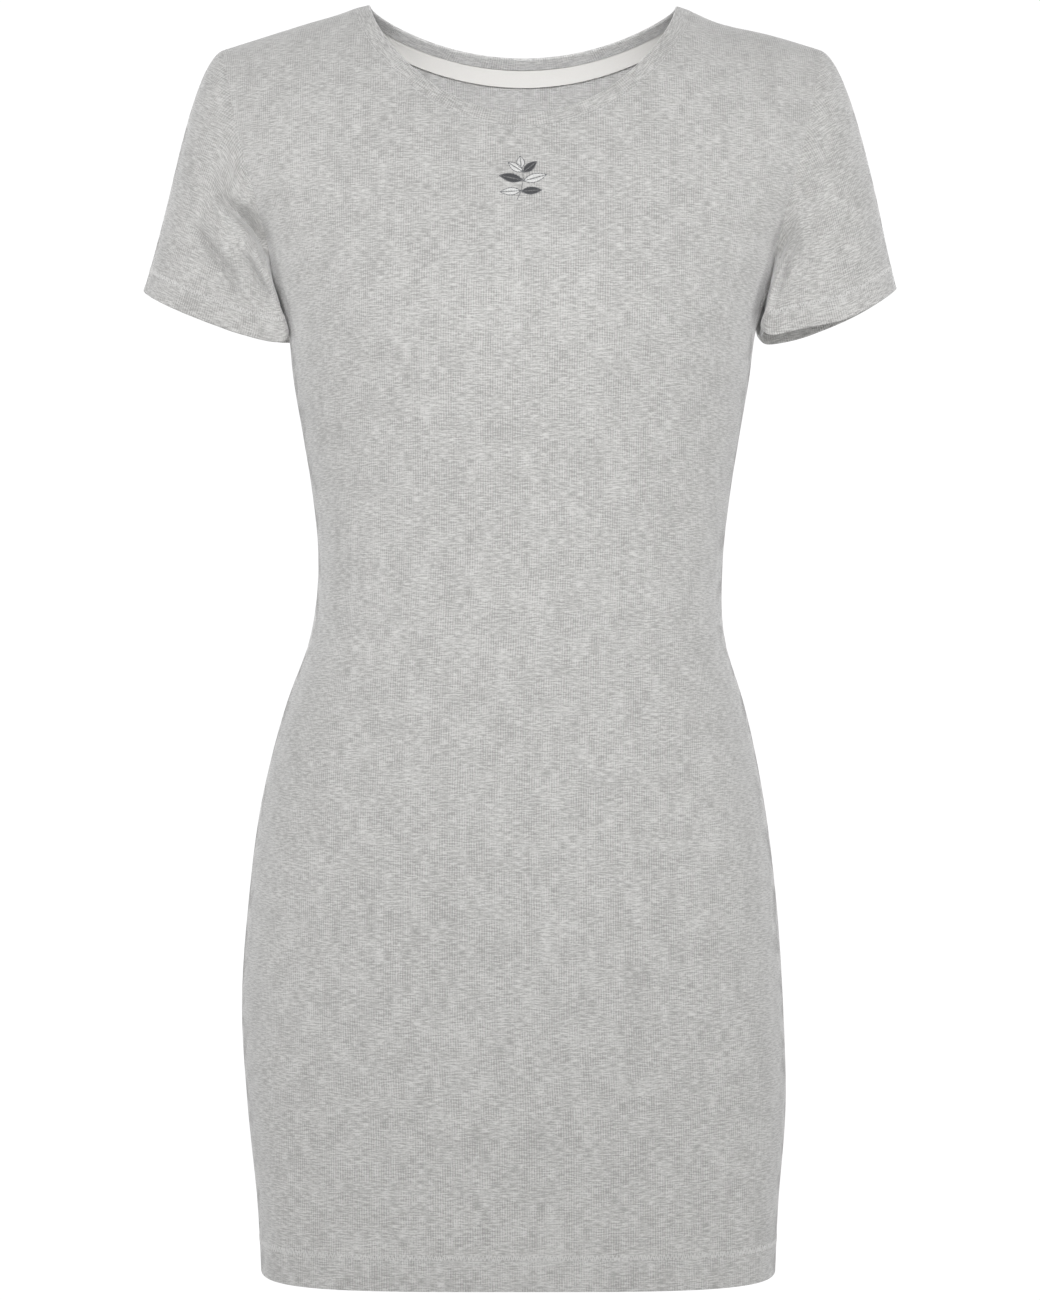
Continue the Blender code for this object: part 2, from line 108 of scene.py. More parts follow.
def through(knots: Array, values: Array, at: Array) -> Array:
    """Read a smooth curve through values.

    Args:
        knots: Where the values stand, rising.
        values: One value for each knot.
        at: Places to read.
    Returns:
        The curve's values at those places.
    """
    slopes = np.gradient(values, knots)
    at = np.clip(np.asarray(at, float), knots[0], knots[-1])
    low = np.clip(np.searchsorted(knots, at, side="right") - 1, 0, len(knots) - 2)
    span = knots[low + 1] - knots[low]
    t = (at - knots[low]) / span
    start = (1 + 2 * t) * (1 - t) ** 2 * values[low] + t * (1 - t) ** 2 * span * slopes[low]
    end = t * t * (3 - 2 * t) * values[low + 1] - t * t * (1 - t) * span * slopes[low + 1]
    return start + end


def read_table(rows: Sequence[Any], column: str, at: Array) -> Array:
    """Read one column of a table as a smooth curve over the rows' heights."""
    heights = np.array([row.height for row in rows])
    return through(heights, np.array([getattr(row, column) for row in rows]), at)


def smoothstep(t: Array) -> Array:
    """Rise from 0 to 1 with flat ends."""
    t = np.clip(t, 0.0, 1.0)
    return t * t * (3 - 2 * t)


def unit(vectors: Array) -> Array:
    """Scale vectors to length 1."""
    return vectors / np.maximum(np.linalg.norm(vectors, axis=-1, keepdims=True), 1e-12)


def arc_lengths(points: Array) -> Array:
    """Distance along the first axis of a grid or line, from its start."""
    steps = np.linalg.norm(np.diff(points, axis=0), axis=-1)
    return np.concatenate([np.zeros((1,) + steps.shape[1:]), np.cumsum(steps, axis=0)])


def at_lengths(points: Array, along: Array, places: Array) -> Array:
    """Read points of a line at distances along it."""
    parts = [np.interp(places, along, points[:, part]) for part in range(points.shape[1])]
    return np.stack(parts, axis=-1)


def spaced(curve: Callable[[Array], Array], count: int, crowd: Callable[[Array], Array]) -> Array:
    """Choose parameters along a curve for rows of cloth.

    Args:
        curve: Points of the curve over parameters from 0 to 1.
        count: How many steps to take.
        crowd: How closely the rows stand, over the share of the curve's length.
    Returns:
        Rising parameters from 0 to 1, one more than the steps.
    """
    fine = np.linspace(0, 1, 4001)
    along = arc_lengths(curve(fine))
    share = along / along[-1]
    weight = np.concatenate([[0], np.cumsum(np.diff(share) * crowd(share[1:]))])
    return np.interp(np.linspace(0, weight[-1], count + 1), weight, fine)


def cubic(start: Array, leave: Array, end: Array, arrive: Array, at: Array) -> tuple[Array, Array]:
    """Run smooth curves between two rows of points.

    Args:
        start: Where the curves start.
        leave: How they leave, as a distance for the whole run.
        end: Where they end.
        arrive: How they arrive, likewise.
        at: Shares of the run.
    Returns:
        A row of points and a row of directions for each share.
    """
    t = at[:, None, None]
    place = (1 + 2 * t) * (1 - t) ** 2 * start + t * (1 - t) ** 2 * leave
    place = place + t * t * (3 - 2 * t) * end - t * t * (1 - t) * arrive
    way = 6 * t * (1 - t) * (end - start) + (1 - t) * (1 - 3 * t) * leave
    return place, way + t * (3 * t - 2) * arrive


class Face(Enum):
    """The two faces of the dress."""

    FRONT = "front"
    BACK = "back"

    @property
    def sign(self) -> float:
        """Which way the face looks along Y."""
        return -1.0 if self is Face.FRONT else 1.0


class Side(Enum):
    """The two sides of the dress, seen from the front."""

    LEFT = "left"
    RIGHT = "right"


class Edge(Enum):
    """The four borders of a sheet of cloth."""

    BOTTOM = "bottom"
    TOP = "top"
    LEFT = "left"
    RIGHT = "right"


@dataclass(frozen=True)
class Section:
    """The body's outline at one height over the hem."""

    height: float
    half_width: float
    front_depth: float
    back_depth: float
    squareness: float
    lean: float


@dataclass(frozen=True)
class ShoulderPoint:
    """How far the shoulder seam lies below the neck point, at a distance from the centre."""

    height: float
    drop: float


@dataclass(frozen=True)
class ArmholePoint:
    """Half width between the armhole seams, by the share of the way up from the underarm."""

    height: float
    half_width: float


@dataclass(frozen=True)
class SleeveLine:
    """How a sleeve leaves its armhole at a share round it, 0 on top and 1 under the arm."""

    height: float
    outward: float
    reach: float
    forward: float
    turn: float


@dataclass(frozen=True)
class RollPoint:
    """Front edge of the roll of cloth beside the armhole, by the share round the armhole."""

    height: float
    strength: float
    x: float
    level: float
    depth: float


SECTIONS = (
    Section(0.000, 0.1620, 0.1010, 0.1010, 3.80, -0.0008),
    Section(0.038, 0.1640, 0.1025, 0.1045, 3.60, -0.0009),
    Section(0.102, 0.1702, 0.1070, 0.1120, 3.10, -0.0014),
    Section(0.166, 0.1715, 0.1110, 0.1165, 2.85, -0.0040),
    Section(0.230, 0.1676, 0.1120, 0.1120, 2.60, -0.0042),
    Section(0.294, 0.1596, 0.1090, 0.0990, 2.50, -0.0043),
    Section(0.358, 0.1448, 0.1025, 0.0870, 2.40, -0.0030),
    Section(0.396, 0.1322, 0.0980, 0.0825, 2.35, -0.0018),
    Section(0.447, 0.1287, 0.0940, 0.0805, 2.30, 0.0004),
    Section(0.486, 0.1324, 0.0955, 0.0830, 2.30, 0.0008),
    Section(0.524, 0.1384, 0.1010, 0.0885, 2.30, 0.0008),
    Section(0.563, 0.1450, 0.1080, 0.0950, 2.35, 0.0008),
    Section(0.595, 0.1492, 0.1115, 0.0990, 2.40, 0.0012),
    Section(0.612, 0.1545, 0.1119, 0.1003, 2.40, 0.0014),
    Section(0.621, 0.1575, 0.1120, 0.1010, 2.40, 0.0015),
    Section(0.629, 0.1597, 0.1116, 0.1015, 2.40, 0.0016),
    Section(0.638, 0.1622, 0.1111, 0.1019, 2.40, 0.0016),
    Section(0.648, 0.1655, 0.1103, 0.1022, 2.40, 0.0016),
    Section(0.660, 0.1715, 0.1090, 0.1025, 2.40, 0.0016),
    Section(0.676, 0.1812, 0.1070, 0.1025, 2.38, 0.0016),
    Section(0.700, 0.1930, 0.1040, 0.1025, 2.35, 0.0016),
    Section(0.740, 0.2100, 0.0990, 0.1010, 2.30, 0.0014),
    Section(0.801, 0.2250, 0.0930, 0.1000, 2.30, 0.0010),
)
SHOULDER_SEAM = (
    ShoulderPoint(0.000, -0.0100),
    ShoulderPoint(0.050, -0.0080),
    ShoulderPoint(0.098, -0.0012),
    ShoulderPoint(0.107, 0.0010),
    ShoulderPoint(0.119, 0.0052),
    ShoulderPoint(0.136, 0.0102),
    ShoulderPoint(0.153, 0.0155),
    ShoulderPoint(0.171, 0.0212),
    ShoulderPoint(0.191, 0.0275),
)
ARMHOLE = (
    ArmholePoint(0.000, 0.1545),
    ArmholePoint(0.053, 0.1573),
    ArmholePoint(0.098, 0.1588),
    ArmholePoint(0.140, 0.1597),
    ArmholePoint(0.205, 0.1607),
    ArmholePoint(0.268, 0.1634),
    ArmholePoint(0.376, 0.1676),
    ArmholePoint(0.471, 0.1718),
    ArmholePoint(0.579, 0.1765),
    ArmholePoint(0.695, 0.1813),
    ArmholePoint(0.806, 0.1850),
    ArmholePoint(0.930, 0.1890),
    ArmholePoint(1.000, 0.1910),
)
SLEEVE_LINES = (
    SleeveLine(0.00, 68.0, 0.070, 0.00, 0.000),
    SleeveLine(0.25, 55.0, 0.068, 0.10, 0.250),
    SleeveLine(0.50, 42.0, 0.055, 0.14, 0.485),
    SleeveLine(0.74, 46.0, 0.044, 0.11, 0.640),
    SleeveLine(0.84, 50.0, 0.038, 0.09, 0.720),
    SleeveLine(0.90, 50.0, 0.034, 0.06, 0.790),
    SleeveLine(0.95, 50.0, 0.030, 0.03, 0.880),
    SleeveLine(1.00, 50.0, 0.022, 0.00, 1.000),
)
SLEEVE_ROLL = (
    RollPoint(0.600, 0.00, 0.1740, 0.6600, 0.0480),
    RollPoint(0.660, 0.30, 0.1700, 0.6520, 0.0480),
    RollPoint(0.740, 0.80, 0.1650, 0.6410, 0.0475),
    RollPoint(0.815, 1.00, 0.1604, 0.6310, 0.0470),
    RollPoint(0.876, 1.00, 0.1575, 0.6220, 0.0468),
    RollPoint(0.900, 1.00, 0.1558, 0.6170, 0.0460),
    RollPoint(0.925, 1.00, 0.1533, 0.6100, 0.0435),
    RollPoint(0.950, 1.00, 0.1524, 0.6060, 0.0360),
    RollPoint(0.975, 1.00, 0.1531, 0.6040, 0.0195),
    RollPoint(1.000, 1.00, 0.1537, 0.6030, 0.0000),
)


@dataclass(frozen=True)
class CreasePoint:
    """One point of a crease: its place, depth, and how wide each of its sides is."""

    x: float
    height: float
    depth: float
    inner: float
    outer: float


@dataclass(frozen=True)
class Crease:
    """A crease pressed into one face of the cloth, along a line seen from the front."""

    face: Face
    points: tuple[CreasePoint, ...]
    sharpness: float = 1.5
    roll: float = 0.0
    roll_width: float = 0.005
    steps: int = 90

    def inward(self, x: Array, height: Array) -> Array:
        """How far the crease presses in.

        Args:
            x: Distances to the right of the centre.
            height: Heights over the hem.
        Returns:
            Metres towards the inside, at each place.
        """
        knots = np.array([(p.x, p.height, p.depth, p.inner, p.outer) for p in self.points])
        share = arc_lengths(knots[:, :2])
        fine = np.linspace(0, share[-1], self.steps)
        line_x, line_h, depth, inner, outer = (through(share, knots[:, c], fine) for c in range(5))
        pressed = np.zeros(x.shape)
        margin = 4 * max(inner.max(), outer.max(), self.roll_width)
        near = (x > line_x.min() - margin) & (x < line_x.max() + margin)
        near &= (height > line_h.min() - margin) & (height < line_h.max() + margin)
        if not near.any():
            return pressed
        away_x = x[near][:, None] - line_x
        away_h = height[near][:, None] - line_h
        nearest = np.argmin(away_x**2 + away_h**2, axis=1)
        pick = np.arange(len(nearest))
        away_x, away_h = away_x[pick, nearest], away_h[pick, nearest]
        tangent_x, tangent_h = np.gradient(line_x)[nearest], np.gradient(line_h)[nearest]
        across = (away_x * -tangent_h + away_h * tangent_x) / np.hypot(tangent_x, tangent_h)
        outward = np.sign(line_x[nearest]) * np.sign(-tangent_h) * across
        distance = np.hypot(away_x, away_h)
        blend = smoothstep(0.5 + 0.5 * outward / np.maximum(distance, 1e-9))
        width = inner[nearest] + (outer[nearest] - inner[nearest]) * blend
        depth = depth[nearest]
        trough = depth * np.exp(-((distance / width) ** self.sharpness))
        rolled = distance / self.roll_width
        swell = self.roll * depth / depth.max() * blend * rolled * np.exp(1 - rolled)
        pressed[near] = trough - swell
        return pressed


def crease(face: Face, roll: float, *rows: tuple[float, ...]) -> Crease:
    """Make a crease from rows of x, height, depth, inner width and outer width."""
    return Crease(face, tuple(CreasePoint(*row) for row in rows), roll=roll)


CREASES = (
    crease(
        Face.FRONT,
        0.0022,
        (-0.1960, 0.6870, 0.0000, 0.0055, 0.0055),
        (-0.1885, 0.6790, 0.0034, 0.0050, 0.0040),
        (-0.1845, 0.6715, 0.0078, 0.0055, 0.0030),
        (-0.1757, 0.6625, 0.0120, 0.0058, 0.0022),
        (-0.1685, 0.6545, 0.0150, 0.0058, 0.0018),
        (-0.1645, 0.6480, 0.0150, 0.0054, 0.0015),
        (-0.1618, 0.6400, 0.0130, 0.0048, 0.0014),
        (-0.1600, 0.6330, 0.0070, 0.0035, 0.0014),
        (-0.1585, 0.6260, 0.0000, 0.0025, 0.0014),
    ),
    crease(
        Face.FRONT,
        0.0,
        (-0.2031, 0.6627, 0.0000, 0.0040, 0.0040),
        (-0.2004, 0.6536, 0.0046, 0.0032, 0.0022),
        (-0.1933, 0.6417, 0.0074, 0.0032, 0.0020),
        (-0.1852, 0.6308, 0.0082, 0.0034, 0.0022),
        (-0.1780, 0.6200, 0.0052, 0.0040, 0.0030),
        (-0.1700, 0.6100, 0.0000, 0.0040, 0.0040),
    ),
    crease(
        Face.FRONT,
        0.0,
        (-0.1720, 0.6390, 0.0000, 0.0030, 0.0030),
        (-0.1666, 0.6283, 0.0066, 0.0026, 0.0018),
        (-0.1626, 0.6211, 0.0078, 0.0026, 0.0017),
        (-0.1591, 0.6166, 0.0060, 0.0026, 0.0018),
        (-0.1531, 0.6075, 0.0000, 0.0030, 0.0030),
    ),
    crease(
        Face.FRONT,
        0.0024,
        (0.1700, 0.6580, 0.0000, 0.0060, 0.0060),
        (0.1680, 0.6490, 0.0055, 0.0070, 0.0032),
        (0.1658, 0.6415, 0.0110, 0.0070, 0.0022),
        (0.1634, 0.6350, 0.0110, 0.0060, 0.0018),
        (0.1604, 0.6285, 0.0080, 0.0050, 0.0016),
        (0.1548, 0.6160, 0.0080, 0.0052, 0.0014),
        (0.1508, 0.6040, 0.0070, 0.0048, 0.0012),
        (0.1480, 0.5920, 0.0000, 0.0040, 0.0012),
    ),
    crease(
        Face.FRONT,
        0.0,
        (0.1760, 0.6480, 0.0000, 0.0030, 0.0030),
        (0.1710, 0.6400, 0.0052, 0.0026, 0.0018),
        (0.1676, 0.6294, 0.0062, 0.0026, 0.0017),
        (0.1640, 0.6180, 0.0046, 0.0026, 0.0018),
        (0.1606, 0.6075, 0.0000, 0.0030, 0.0030),
    ),
    crease(
        Face.BACK,
        0.0018,
        (-0.1860, 0.6680, 0.0000, 0.0060, 0.0060),
        (-0.1750, 0.6560, 0.0060, 0.0065, 0.0040),
        (-0.1660, 0.6440, 0.0090, 0.0065, 0.0026),
        (-0.1615, 0.6350, 0.0070, 0.0050, 0.0020),
        (-0.1590, 0.6270, 0.0000, 0.0035, 0.0020),
    ),
    crease(
        Face.BACK,
        0.0020,
        (0.1900, 0.6740, 0.0000, 0.0060, 0.0060),
        (0.1790, 0.6600, 0.0055, 0.0070, 0.0040),
        (0.1700, 0.6480, 0.0085, 0.0070, 0.0028),
        (0.1640, 0.6360, 0.0075, 0.0050, 0.0020),
        (0.1610, 0.6260, 0.0000, 0.0035, 0.0020),
    ),
    crease(
        Face.BACK,
        0.0,
        (0.2060, 0.6580, 0.0000, 0.0040, 0.0040),
        (0.1970, 0.6420, 0.0022, 0.0040, 0.0032),
        (0.1860, 0.6260, 0.0024, 0.0040, 0.0032),
        (0.1740, 0.6100, 0.0000, 0.0040, 0.0040),
    ),
)


def sided(left: float, right: float) -> Any:
    """A dataclass field that holds a value for each side."""
    return field(default_factory=lambda: {Side.LEFT: left, Side.RIGHT: right})


def faced(front: float, back: float) -> Any:
    """A dataclass field that holds a value for each face."""
    return field(default_factory=lambda: {Face.FRONT: front, Face.BACK: back})


@dataclass
class DressForm:
    """The shape of the filled-out dress, which every piece of cloth lies on."""

    length: float = 0.801
    underarm: float = 0.612
    hem_depth: float = 0.024
    neck_half_width: float = 0.098
    neck_drop: dict[Face, float] = faced(0.0815, 0.0225)
    neck_fall: dict[Face, float] = faced(1.43, 2.0)
    neck_offset: float = 0.0009
    band_width: float = 0.009
    band_drop: dict[Face, float] = faced(0.0085, 0.0078)
    arch: dict[Face, float] = faced(1.7, 2.2)
    shoulder_half_width: float = 0.191
    bust_out: float = 0.0092
    bust_x: float = 0.082
    bust_height: float = 0.598
    bust_spread: tuple[float, float] = (0.048, 0.037)
    shoulder_sag: float = 0.0031
    shoulder_sag_x: float = 0.127
    shoulder_sag_spread: float = 0.024
    cuff_centre: tuple[float, float] = (0.1955, 0.6032)
    cuff_half_width: float = 0.0475
    cuff_half_depth: float = 0.0465
    cuff_tilt: float = radians(21)
    cuff_squareness: float = 2.5
    under_squareness: float = 10.0
    cuff_wrap: dict[Side, float] = sided(0.0066, 0.0036)
    roll_shift: dict[Side, float] = sided(-0.0002, 0.0018)
    roll_place: float = 0.25
    roll_bulge: float = 0.0025
    back_wrap: dict[Side, float] = sided(0.0065, -0.0010)
    cuff_dip: dict[Side, float] = sided(0.0018, 0.0050)
    cuff_front_drop: dict[Side, float] = sided(0.0062, -0.0010)
    cuff_outer_drop: dict[Side, float] = sided(0.0, 0.0056)
    cuff_back_lift: dict[Side, float] = sided(0.0025, 0.0042)
    cuff_inner_shift: dict[Side, float] = sided(0.0, 0.0016)
    under_lift: float = 0.0045
    cuff_shift: float = -0.0016
    cuff_shift_top: float = 0.690
    cuff_lean: float = radians(18)
    cuff_reach: float = 0.72
    crease_fade: float = 0.030
    neck_steps: int = 58
    shoulder_steps: int = 56
    skirt_steps: int = 66
    yoke_steps: int = 122
    neck_share: float = 9 / 14
    shoulder_crowding: float = 0.42
    skirt_crowding: float = 0.28
    armhole_crowding: tuple[float, float] = (2.6, 2.0)
    roll_shift_below: float = 0.618
    roll_shift_fade: float = 0.008
    roll_turn: float = 0.3
    roll_wall: float = 1.3
    roll_rows_share: float = 0.36

    def shoulder_height(self, x: Array) -> Array:
        """Height over the hem of the shoulder seam at a distance from the centre."""
        return self.length - read_table(SHOULDER_SEAM, "drop", np.abs(x))

    def rise(self, x: Array, height: Array) -> Array:
        """Share of the way up from the underarm level to the shoulder seam."""
        return np.clip((height - self.underarm) / (self.shoulder_height(x) - self.underarm), 0, 1)

    def bust(self, x: Array, height: Array) -> Array:
        """Fullness over the bust.

        Args:
            x: Distances to the right of the centre.
            height: Heights over the hem.
        Returns:
            How far the cloth stands out at each place.
        """
        across = np.exp(-(((np.abs(x) - self.bust_x) / self.bust_spread[0]) ** 2))
        upward = np.exp(-(((height - self.bust_height) / self.bust_spread[1]) ** 2))
        return self.bust_out * across * upward

    def body(self, face: Face, x: Array, height: Array, side_share: Array | None = None) -> Array:
        """Find points of the body's front or back.

        Args:
            face: Which face they lie on.
            x: Distances to the right of the centre.
            height: Heights over the hem.
            side_share: How far each point stands out of the side, worked out where not given.
        Returns:
            Points with their height over the hem as Z.
        """
        half_width = read_table(SECTIONS, "half_width", height)
        depth = read_table(SECTIONS, face.value + "_depth", height)
        n = read_table(SECTIONS, "squareness", height)
        if side_share is None:
            side_share = (1 - np.clip(np.abs(x) / half_width, 0, 1) ** n) ** (1 / n)
        power = self.arch[face]
        arch = (1 - self.rise(x, height) ** power) ** (1 / power)
        out = depth * side_share * arch
        if face is Face.FRONT:
            out = out + self.bust(x, height) * smoothstep(side_share * 2) * arch
        return np.stack(np.broadcast_arrays(x, face.sign * out, height), axis=-1)

    def neck_line(self, face: Face, turn: Array, outset: float) -> tuple[Array, Array]:
        """The neck's free edge, or a line that far outside it, over angles from the centre.

        Args:
            face: Front or back.
            turn: Angles round the neck, 0 at its middle.
            outset: How far outside the free edge the line runs.
        Returns:
            Distances to the right of the centre, and heights over the hem.
        """
        half_width = self.neck_half_width + outset
        top = self.shoulder_height(half_width)
        drop = self.neck_drop[face] + outset * self.band_drop[face] / self.band_width
        bottom = self.shoulder_height(self.neck_half_width) - drop
        height = top - (top - bottom) * np.abs(np.cos(turn)) ** self.neck_fall[face]
        return half_width * np.sin(turn), height

    def neck_turns(self) -> Array:
        """Angles of the columns round half of the neck, side to side."""
        return np.arange(-self.neck_steps, self.neck_steps + 1) / self.neck_steps * pi / 2

    def columns(self) -> Array:
        """Columns from one side of a panel to the other, -1 to 1, closer near the armholes.

        Returns:
            The columns, rising.
        """
        neck = np.arange(self.neck_steps + 1) / self.neck_steps * self.neck_share
        along = np.arange(1, self.shoulder_steps + 1) / self.shoulder_steps
        eased = along + self.shoulder_crowding * along * (1 - along)
        half = np.concatenate([neck, self.neck_share + (1 - self.neck_share) * eased])
        return np.concatenate([-half[:0:-1], half])

    def top_line(self, face: Face, share: Array) -> tuple[Array, Array]:
        """A panel's top edge: the neck seam, then the shoulder seam.

        Args:
            face: Which panel.
            share: Columns, -1 to 1 from side to side.
        Returns:
            Distances to the right of the centre, and heights over the hem.
        """
        turn = np.clip(share / self.neck_share, -1, 1) * pi / 2
        x, height = self.neck_line(face, turn, self.band_width)
        along = np.clip((np.abs(share) - self.neck_share) / (1 - self.neck_share), 0, 1)
        start = self.neck_half_width + self.band_width
        shoulder_x = np.sign(share) * (start + along * (self.shoulder_half_width - start))
        on_shoulder = np.abs(share) > self.neck_share + 1e-9
        x = np.where(on_shoulder, shoulder_x, x)
        return x, np.where(on_shoulder, self.shoulder_height(x), height)

    def skirt(self, face: Face, heights: Array) -> Array:
        """Rows of a panel from the hem to the underarm level.

        Args:
            face: Which panel.
            heights: Heights of the rows over the hem.
        Returns:
            Rows of points.
        """
        height = heights[:, None]
        turn = self.columns()[None, :] * pi / 2
        n = read_table(SECTIONS, "squareness", height)
        half_width = read_table(SECTIONS, "half_width", height)
        x = half_width * np.sign(turn) * np.abs(np.sin(turn)) ** (2 / n)
        at_side = np.abs(turn) > pi / 2 - 1e-6
        side_share = np.where(at_side, 0.0, np.abs(np.cos(turn)) ** (2 / n))
        return self.body(face, x, np.broadcast_to(height, x.shape), side_share)

    def yoke(self, face: Face, climb: Array, share: Array) -> Array:
        """Rows of a panel above the underarm level, up to the neck and shoulder seams.

        Args:
            face: Which panel.
            climb: Rows, as shares of the way up from the underarm.
            share: Columns, -1 to 1 from side to side.
        Returns:
            Rows of points.
        """
        climb, share = climb[:, None], share[None, :]
        power = self.arch[face] / 2
        top_x, top_height = self.top_line(face, share)
        top_angle = np.arcsin(self.rise(top_x, top_height) ** power)
        rise = np.sin(climb * top_angle) ** (1 / power)
        armhole_rise = np.sin(climb * pi / 2) ** (1 / power)
        n = read_table(SECTIONS, "squareness", self.underarm)
        low_share = np.sign(share) * np.abs(np.sin(share * pi / 2)) ** (2 / n)
        across = low_share + climb * (top_x / self.shoulder_half_width - low_share)
        x = across * read_table(ARMHOLE, "half_width", armhole_rise)
        height = self.underarm + rise * (self.shoulder_height(x) - self.underarm)
        return self.body(face, x, height)

    def panel(self, face: Face) -> tuple[Array, int]:
        """The middle of a panel, hem to shoulder.

        Args:
            face: Which panel.
        Returns:
            Its points, rows upward and columns round the body, and its first yoke row.
        """
        part = np.linspace(0, 1, self.skirt_steps + 1)
        crowding = self.skirt_crowding
        heights = self.underarm * ((1 + crowding) * part - crowding * part**4)
        edge = np.array([1.0])
        close, wider = self.armhole_crowding
        climb = spaced(
            lambda t: self.yoke(face, t, edge)[:, 0], self.yoke_steps, lambda s: close - wider * s
        )
        skirt = self.skirt(face, heights)
        grid = np.concatenate([skirt, self.yoke(face, climb[1:], self.columns())])
        return (grid if face is Face.FRONT else grid[:, ::-1]), len(skirt) - 1

    def sleeve(self, side: Side, ring: Array, under: int, rows: int) -> Array:
        """Rows of one sleeve from its armhole to its cuff, drawn at the right of the body.

        Args:
            side: Which sleeve.
            ring: Points round the armhole, from the shoulder down the front.
            under: Which of them lies under the arm.
            rows: How many rows to make.
        Returns:
            Rows of points, the first one the ring.
        """
        steps = np.linalg.norm(np.roll(ring, -1, axis=0) - ring, axis=1)
        down = np.concatenate([[0], np.cumsum(steps[:under])])
        up = np.cumsum(steps[under:][::-1])[::-1][1:]
        shares = np.concatenate([down / down[-1], up / steps[under:].sum()])
        face = np.where(np.arange(len(ring)) <= under, -1.0, 1.0)
        cuff = self.cuff(side, face, read_table(SLEEVE_LINES, "turn", shares) * pi)
        lean = np.radians(read_table(SLEEVE_LINES, "outward", shares))
        forward = face * read_table(SLEEVE_LINES, "forward", shares)
        leave = np.stack([np.sin(lean), forward, -np.cos(lean)], axis=-1)
        leave = leave * read_table(SLEEVE_LINES, "reach", shares)[:, None]
        length = np.linalg.norm(cuff - ring, axis=1)[:, None]
        arrive = np.array([sin(self.cuff_lean), 0.0, -cos(self.cuff_lean)])
        arrive = arrive * length * self.cuff_reach
        first = self.roll_place
        middle, way = cubic(ring, leave, cuff, arrive, np.array([first]))
        strength = np.clip(read_table(SLEEVE_ROLL, "strength", shares), 0, 1)[:, None]
        roll_x, level, depth = (
            read_table(SLEEVE_ROLL, column, shares) for column in ("x", "level", "depth")
        )
        below = smoothstep((self.roll_shift_below - level) / self.roll_shift_fade)
        roll_x = roll_x + self.roll_shift[side] * below
        rolled = np.stack([roll_x, face * depth, level], axis=-1)
        middle = middle[0] + strength * (rolled - middle[0])
        onward = (cuff - middle) / (1 - first)
        onward[:, 1] += face * self.roll_turn * depth
        way = way[0] + strength * (onward - way[0])
        wall = (middle - ring) * self.roll_wall + np.array([self.roll_bulge, 0.0, 0.0])
        leave = leave * first + strength * (wall - leave * first)
        count = int(rows * self.roll_rows_share)
        upper, _ = cubic(ring, leave, middle, way * first, np.linspace(0, 1, count + 1))
        rest = np.linspace(0, 1, rows - count)[1:]
        lower, _ = cubic(middle, way * (1 - first), cuff, arrive * (1 - first), rest)
        return np.concatenate([upper, lower])

    def cuff(self, side: Side, face: Array, angle: Array) -> Array:
        """The edge of a cuff.

        Args:
            side: Which sleeve.
            face: -1 on its front half and 1 on its back half.
            angle: How far round the cuff, 0 outside and pi under the arm.
        Returns:
            Its points, drawn at the right of the body.
        """
        under = smoothstep(-np.cos(angle) * 1.5)
        power = 2 / (self.cuff_squareness + (self.under_squareness - self.cuff_squareness) * under)
        out = self.cuff_half_width * np.sign(np.cos(angle)) * np.abs(np.cos(angle)) ** power
        deep = np.abs(np.sin(angle)) ** power
        drop = self.cuff_dip[side] * np.sin(angle) ** 2
        drop = drop + self.cuff_front_drop[side] * deep * (face < 0)
        share = out / self.cuff_half_width
        outer = smoothstep(share + 0.7) * deep**2 * (face < 0)
        drop = drop + self.cuff_outer_drop[side] * outer
        inner = smoothstep((-share - 0.1) / 0.9) * (face > 0) * smoothstep(deep * 3)
        drop = drop - self.cuff_back_lift[side] * inner
        x = self.cuff_centre[0] + out * cos(self.cuff_tilt)
        wrap = np.where(face < 0, self.cuff_wrap[side], self.back_wrap[side])
        x = x - wrap * under * deep**2 + self.cuff_inner_shift[side] * smoothstep(-share * 2 - 1)
        height = self.cuff_centre[1] + out * sin(self.cuff_tilt) - drop
        height = height + self.under_lift * smoothstep(-np.cos(angle) * 1.2 - 0.2)
        return np.stack([x, face * self.cuff_half_depth * deep, height], axis=-1)

    def flat_place(self, face: Face, x: Array, height: Array, steps: int = 36) -> Array:
        """Lay points of the body out flat.

        Args:
            face: Which face they lie on.
            x: Distances to the right of the centre.
            height: Heights over the hem.
            steps: How many steps to measure in.
        Returns:
            Width from the centre along each point's level, and length up from the hem.
        """
        share = 1 - (1 - np.linspace(0, 1, steps + 1)) ** 2
        across = self.body(face, x[..., None] * share, height[..., None] + 0 * share)
        width = np.linalg.norm(np.diff(across, axis=-2), axis=-1).sum(axis=-1)
        upward = height[..., None] * share
        power = self.arch[face]
        arch = (1 - self.rise(x[..., None] + 0 * share, upward) ** power) ** (1 / power)
        depth = read_table(SECTIONS, face.value + "_depth", upward) * arch
        length = np.hypot(np.diff(depth, axis=-1), np.diff(upward, axis=-1)).sum(axis=-1)
        return np.stack([face.sign * -np.sign(x) * width, length], axis=-1)

    def neckband(self, rows: int) -> Array:
        """Rows of the neckband from its seam to its free edge, columns round the neck.

        Args:
            rows: How many rows to make.
        Returns:
            Rows of points.
        """
        turn = self.neck_turns()
        bands = []
        for outset in np.linspace(self.band_width, 0, rows):
            front = self.body(Face.FRONT, *self.neck_line(Face.FRONT, turn, outset))
            back = self.body(Face.BACK, *self.neck_line(Face.BACK, turn[::-1], outset))
            bands.append(np.concatenate([front, back[1:-1]]))
        return np.array(bands)

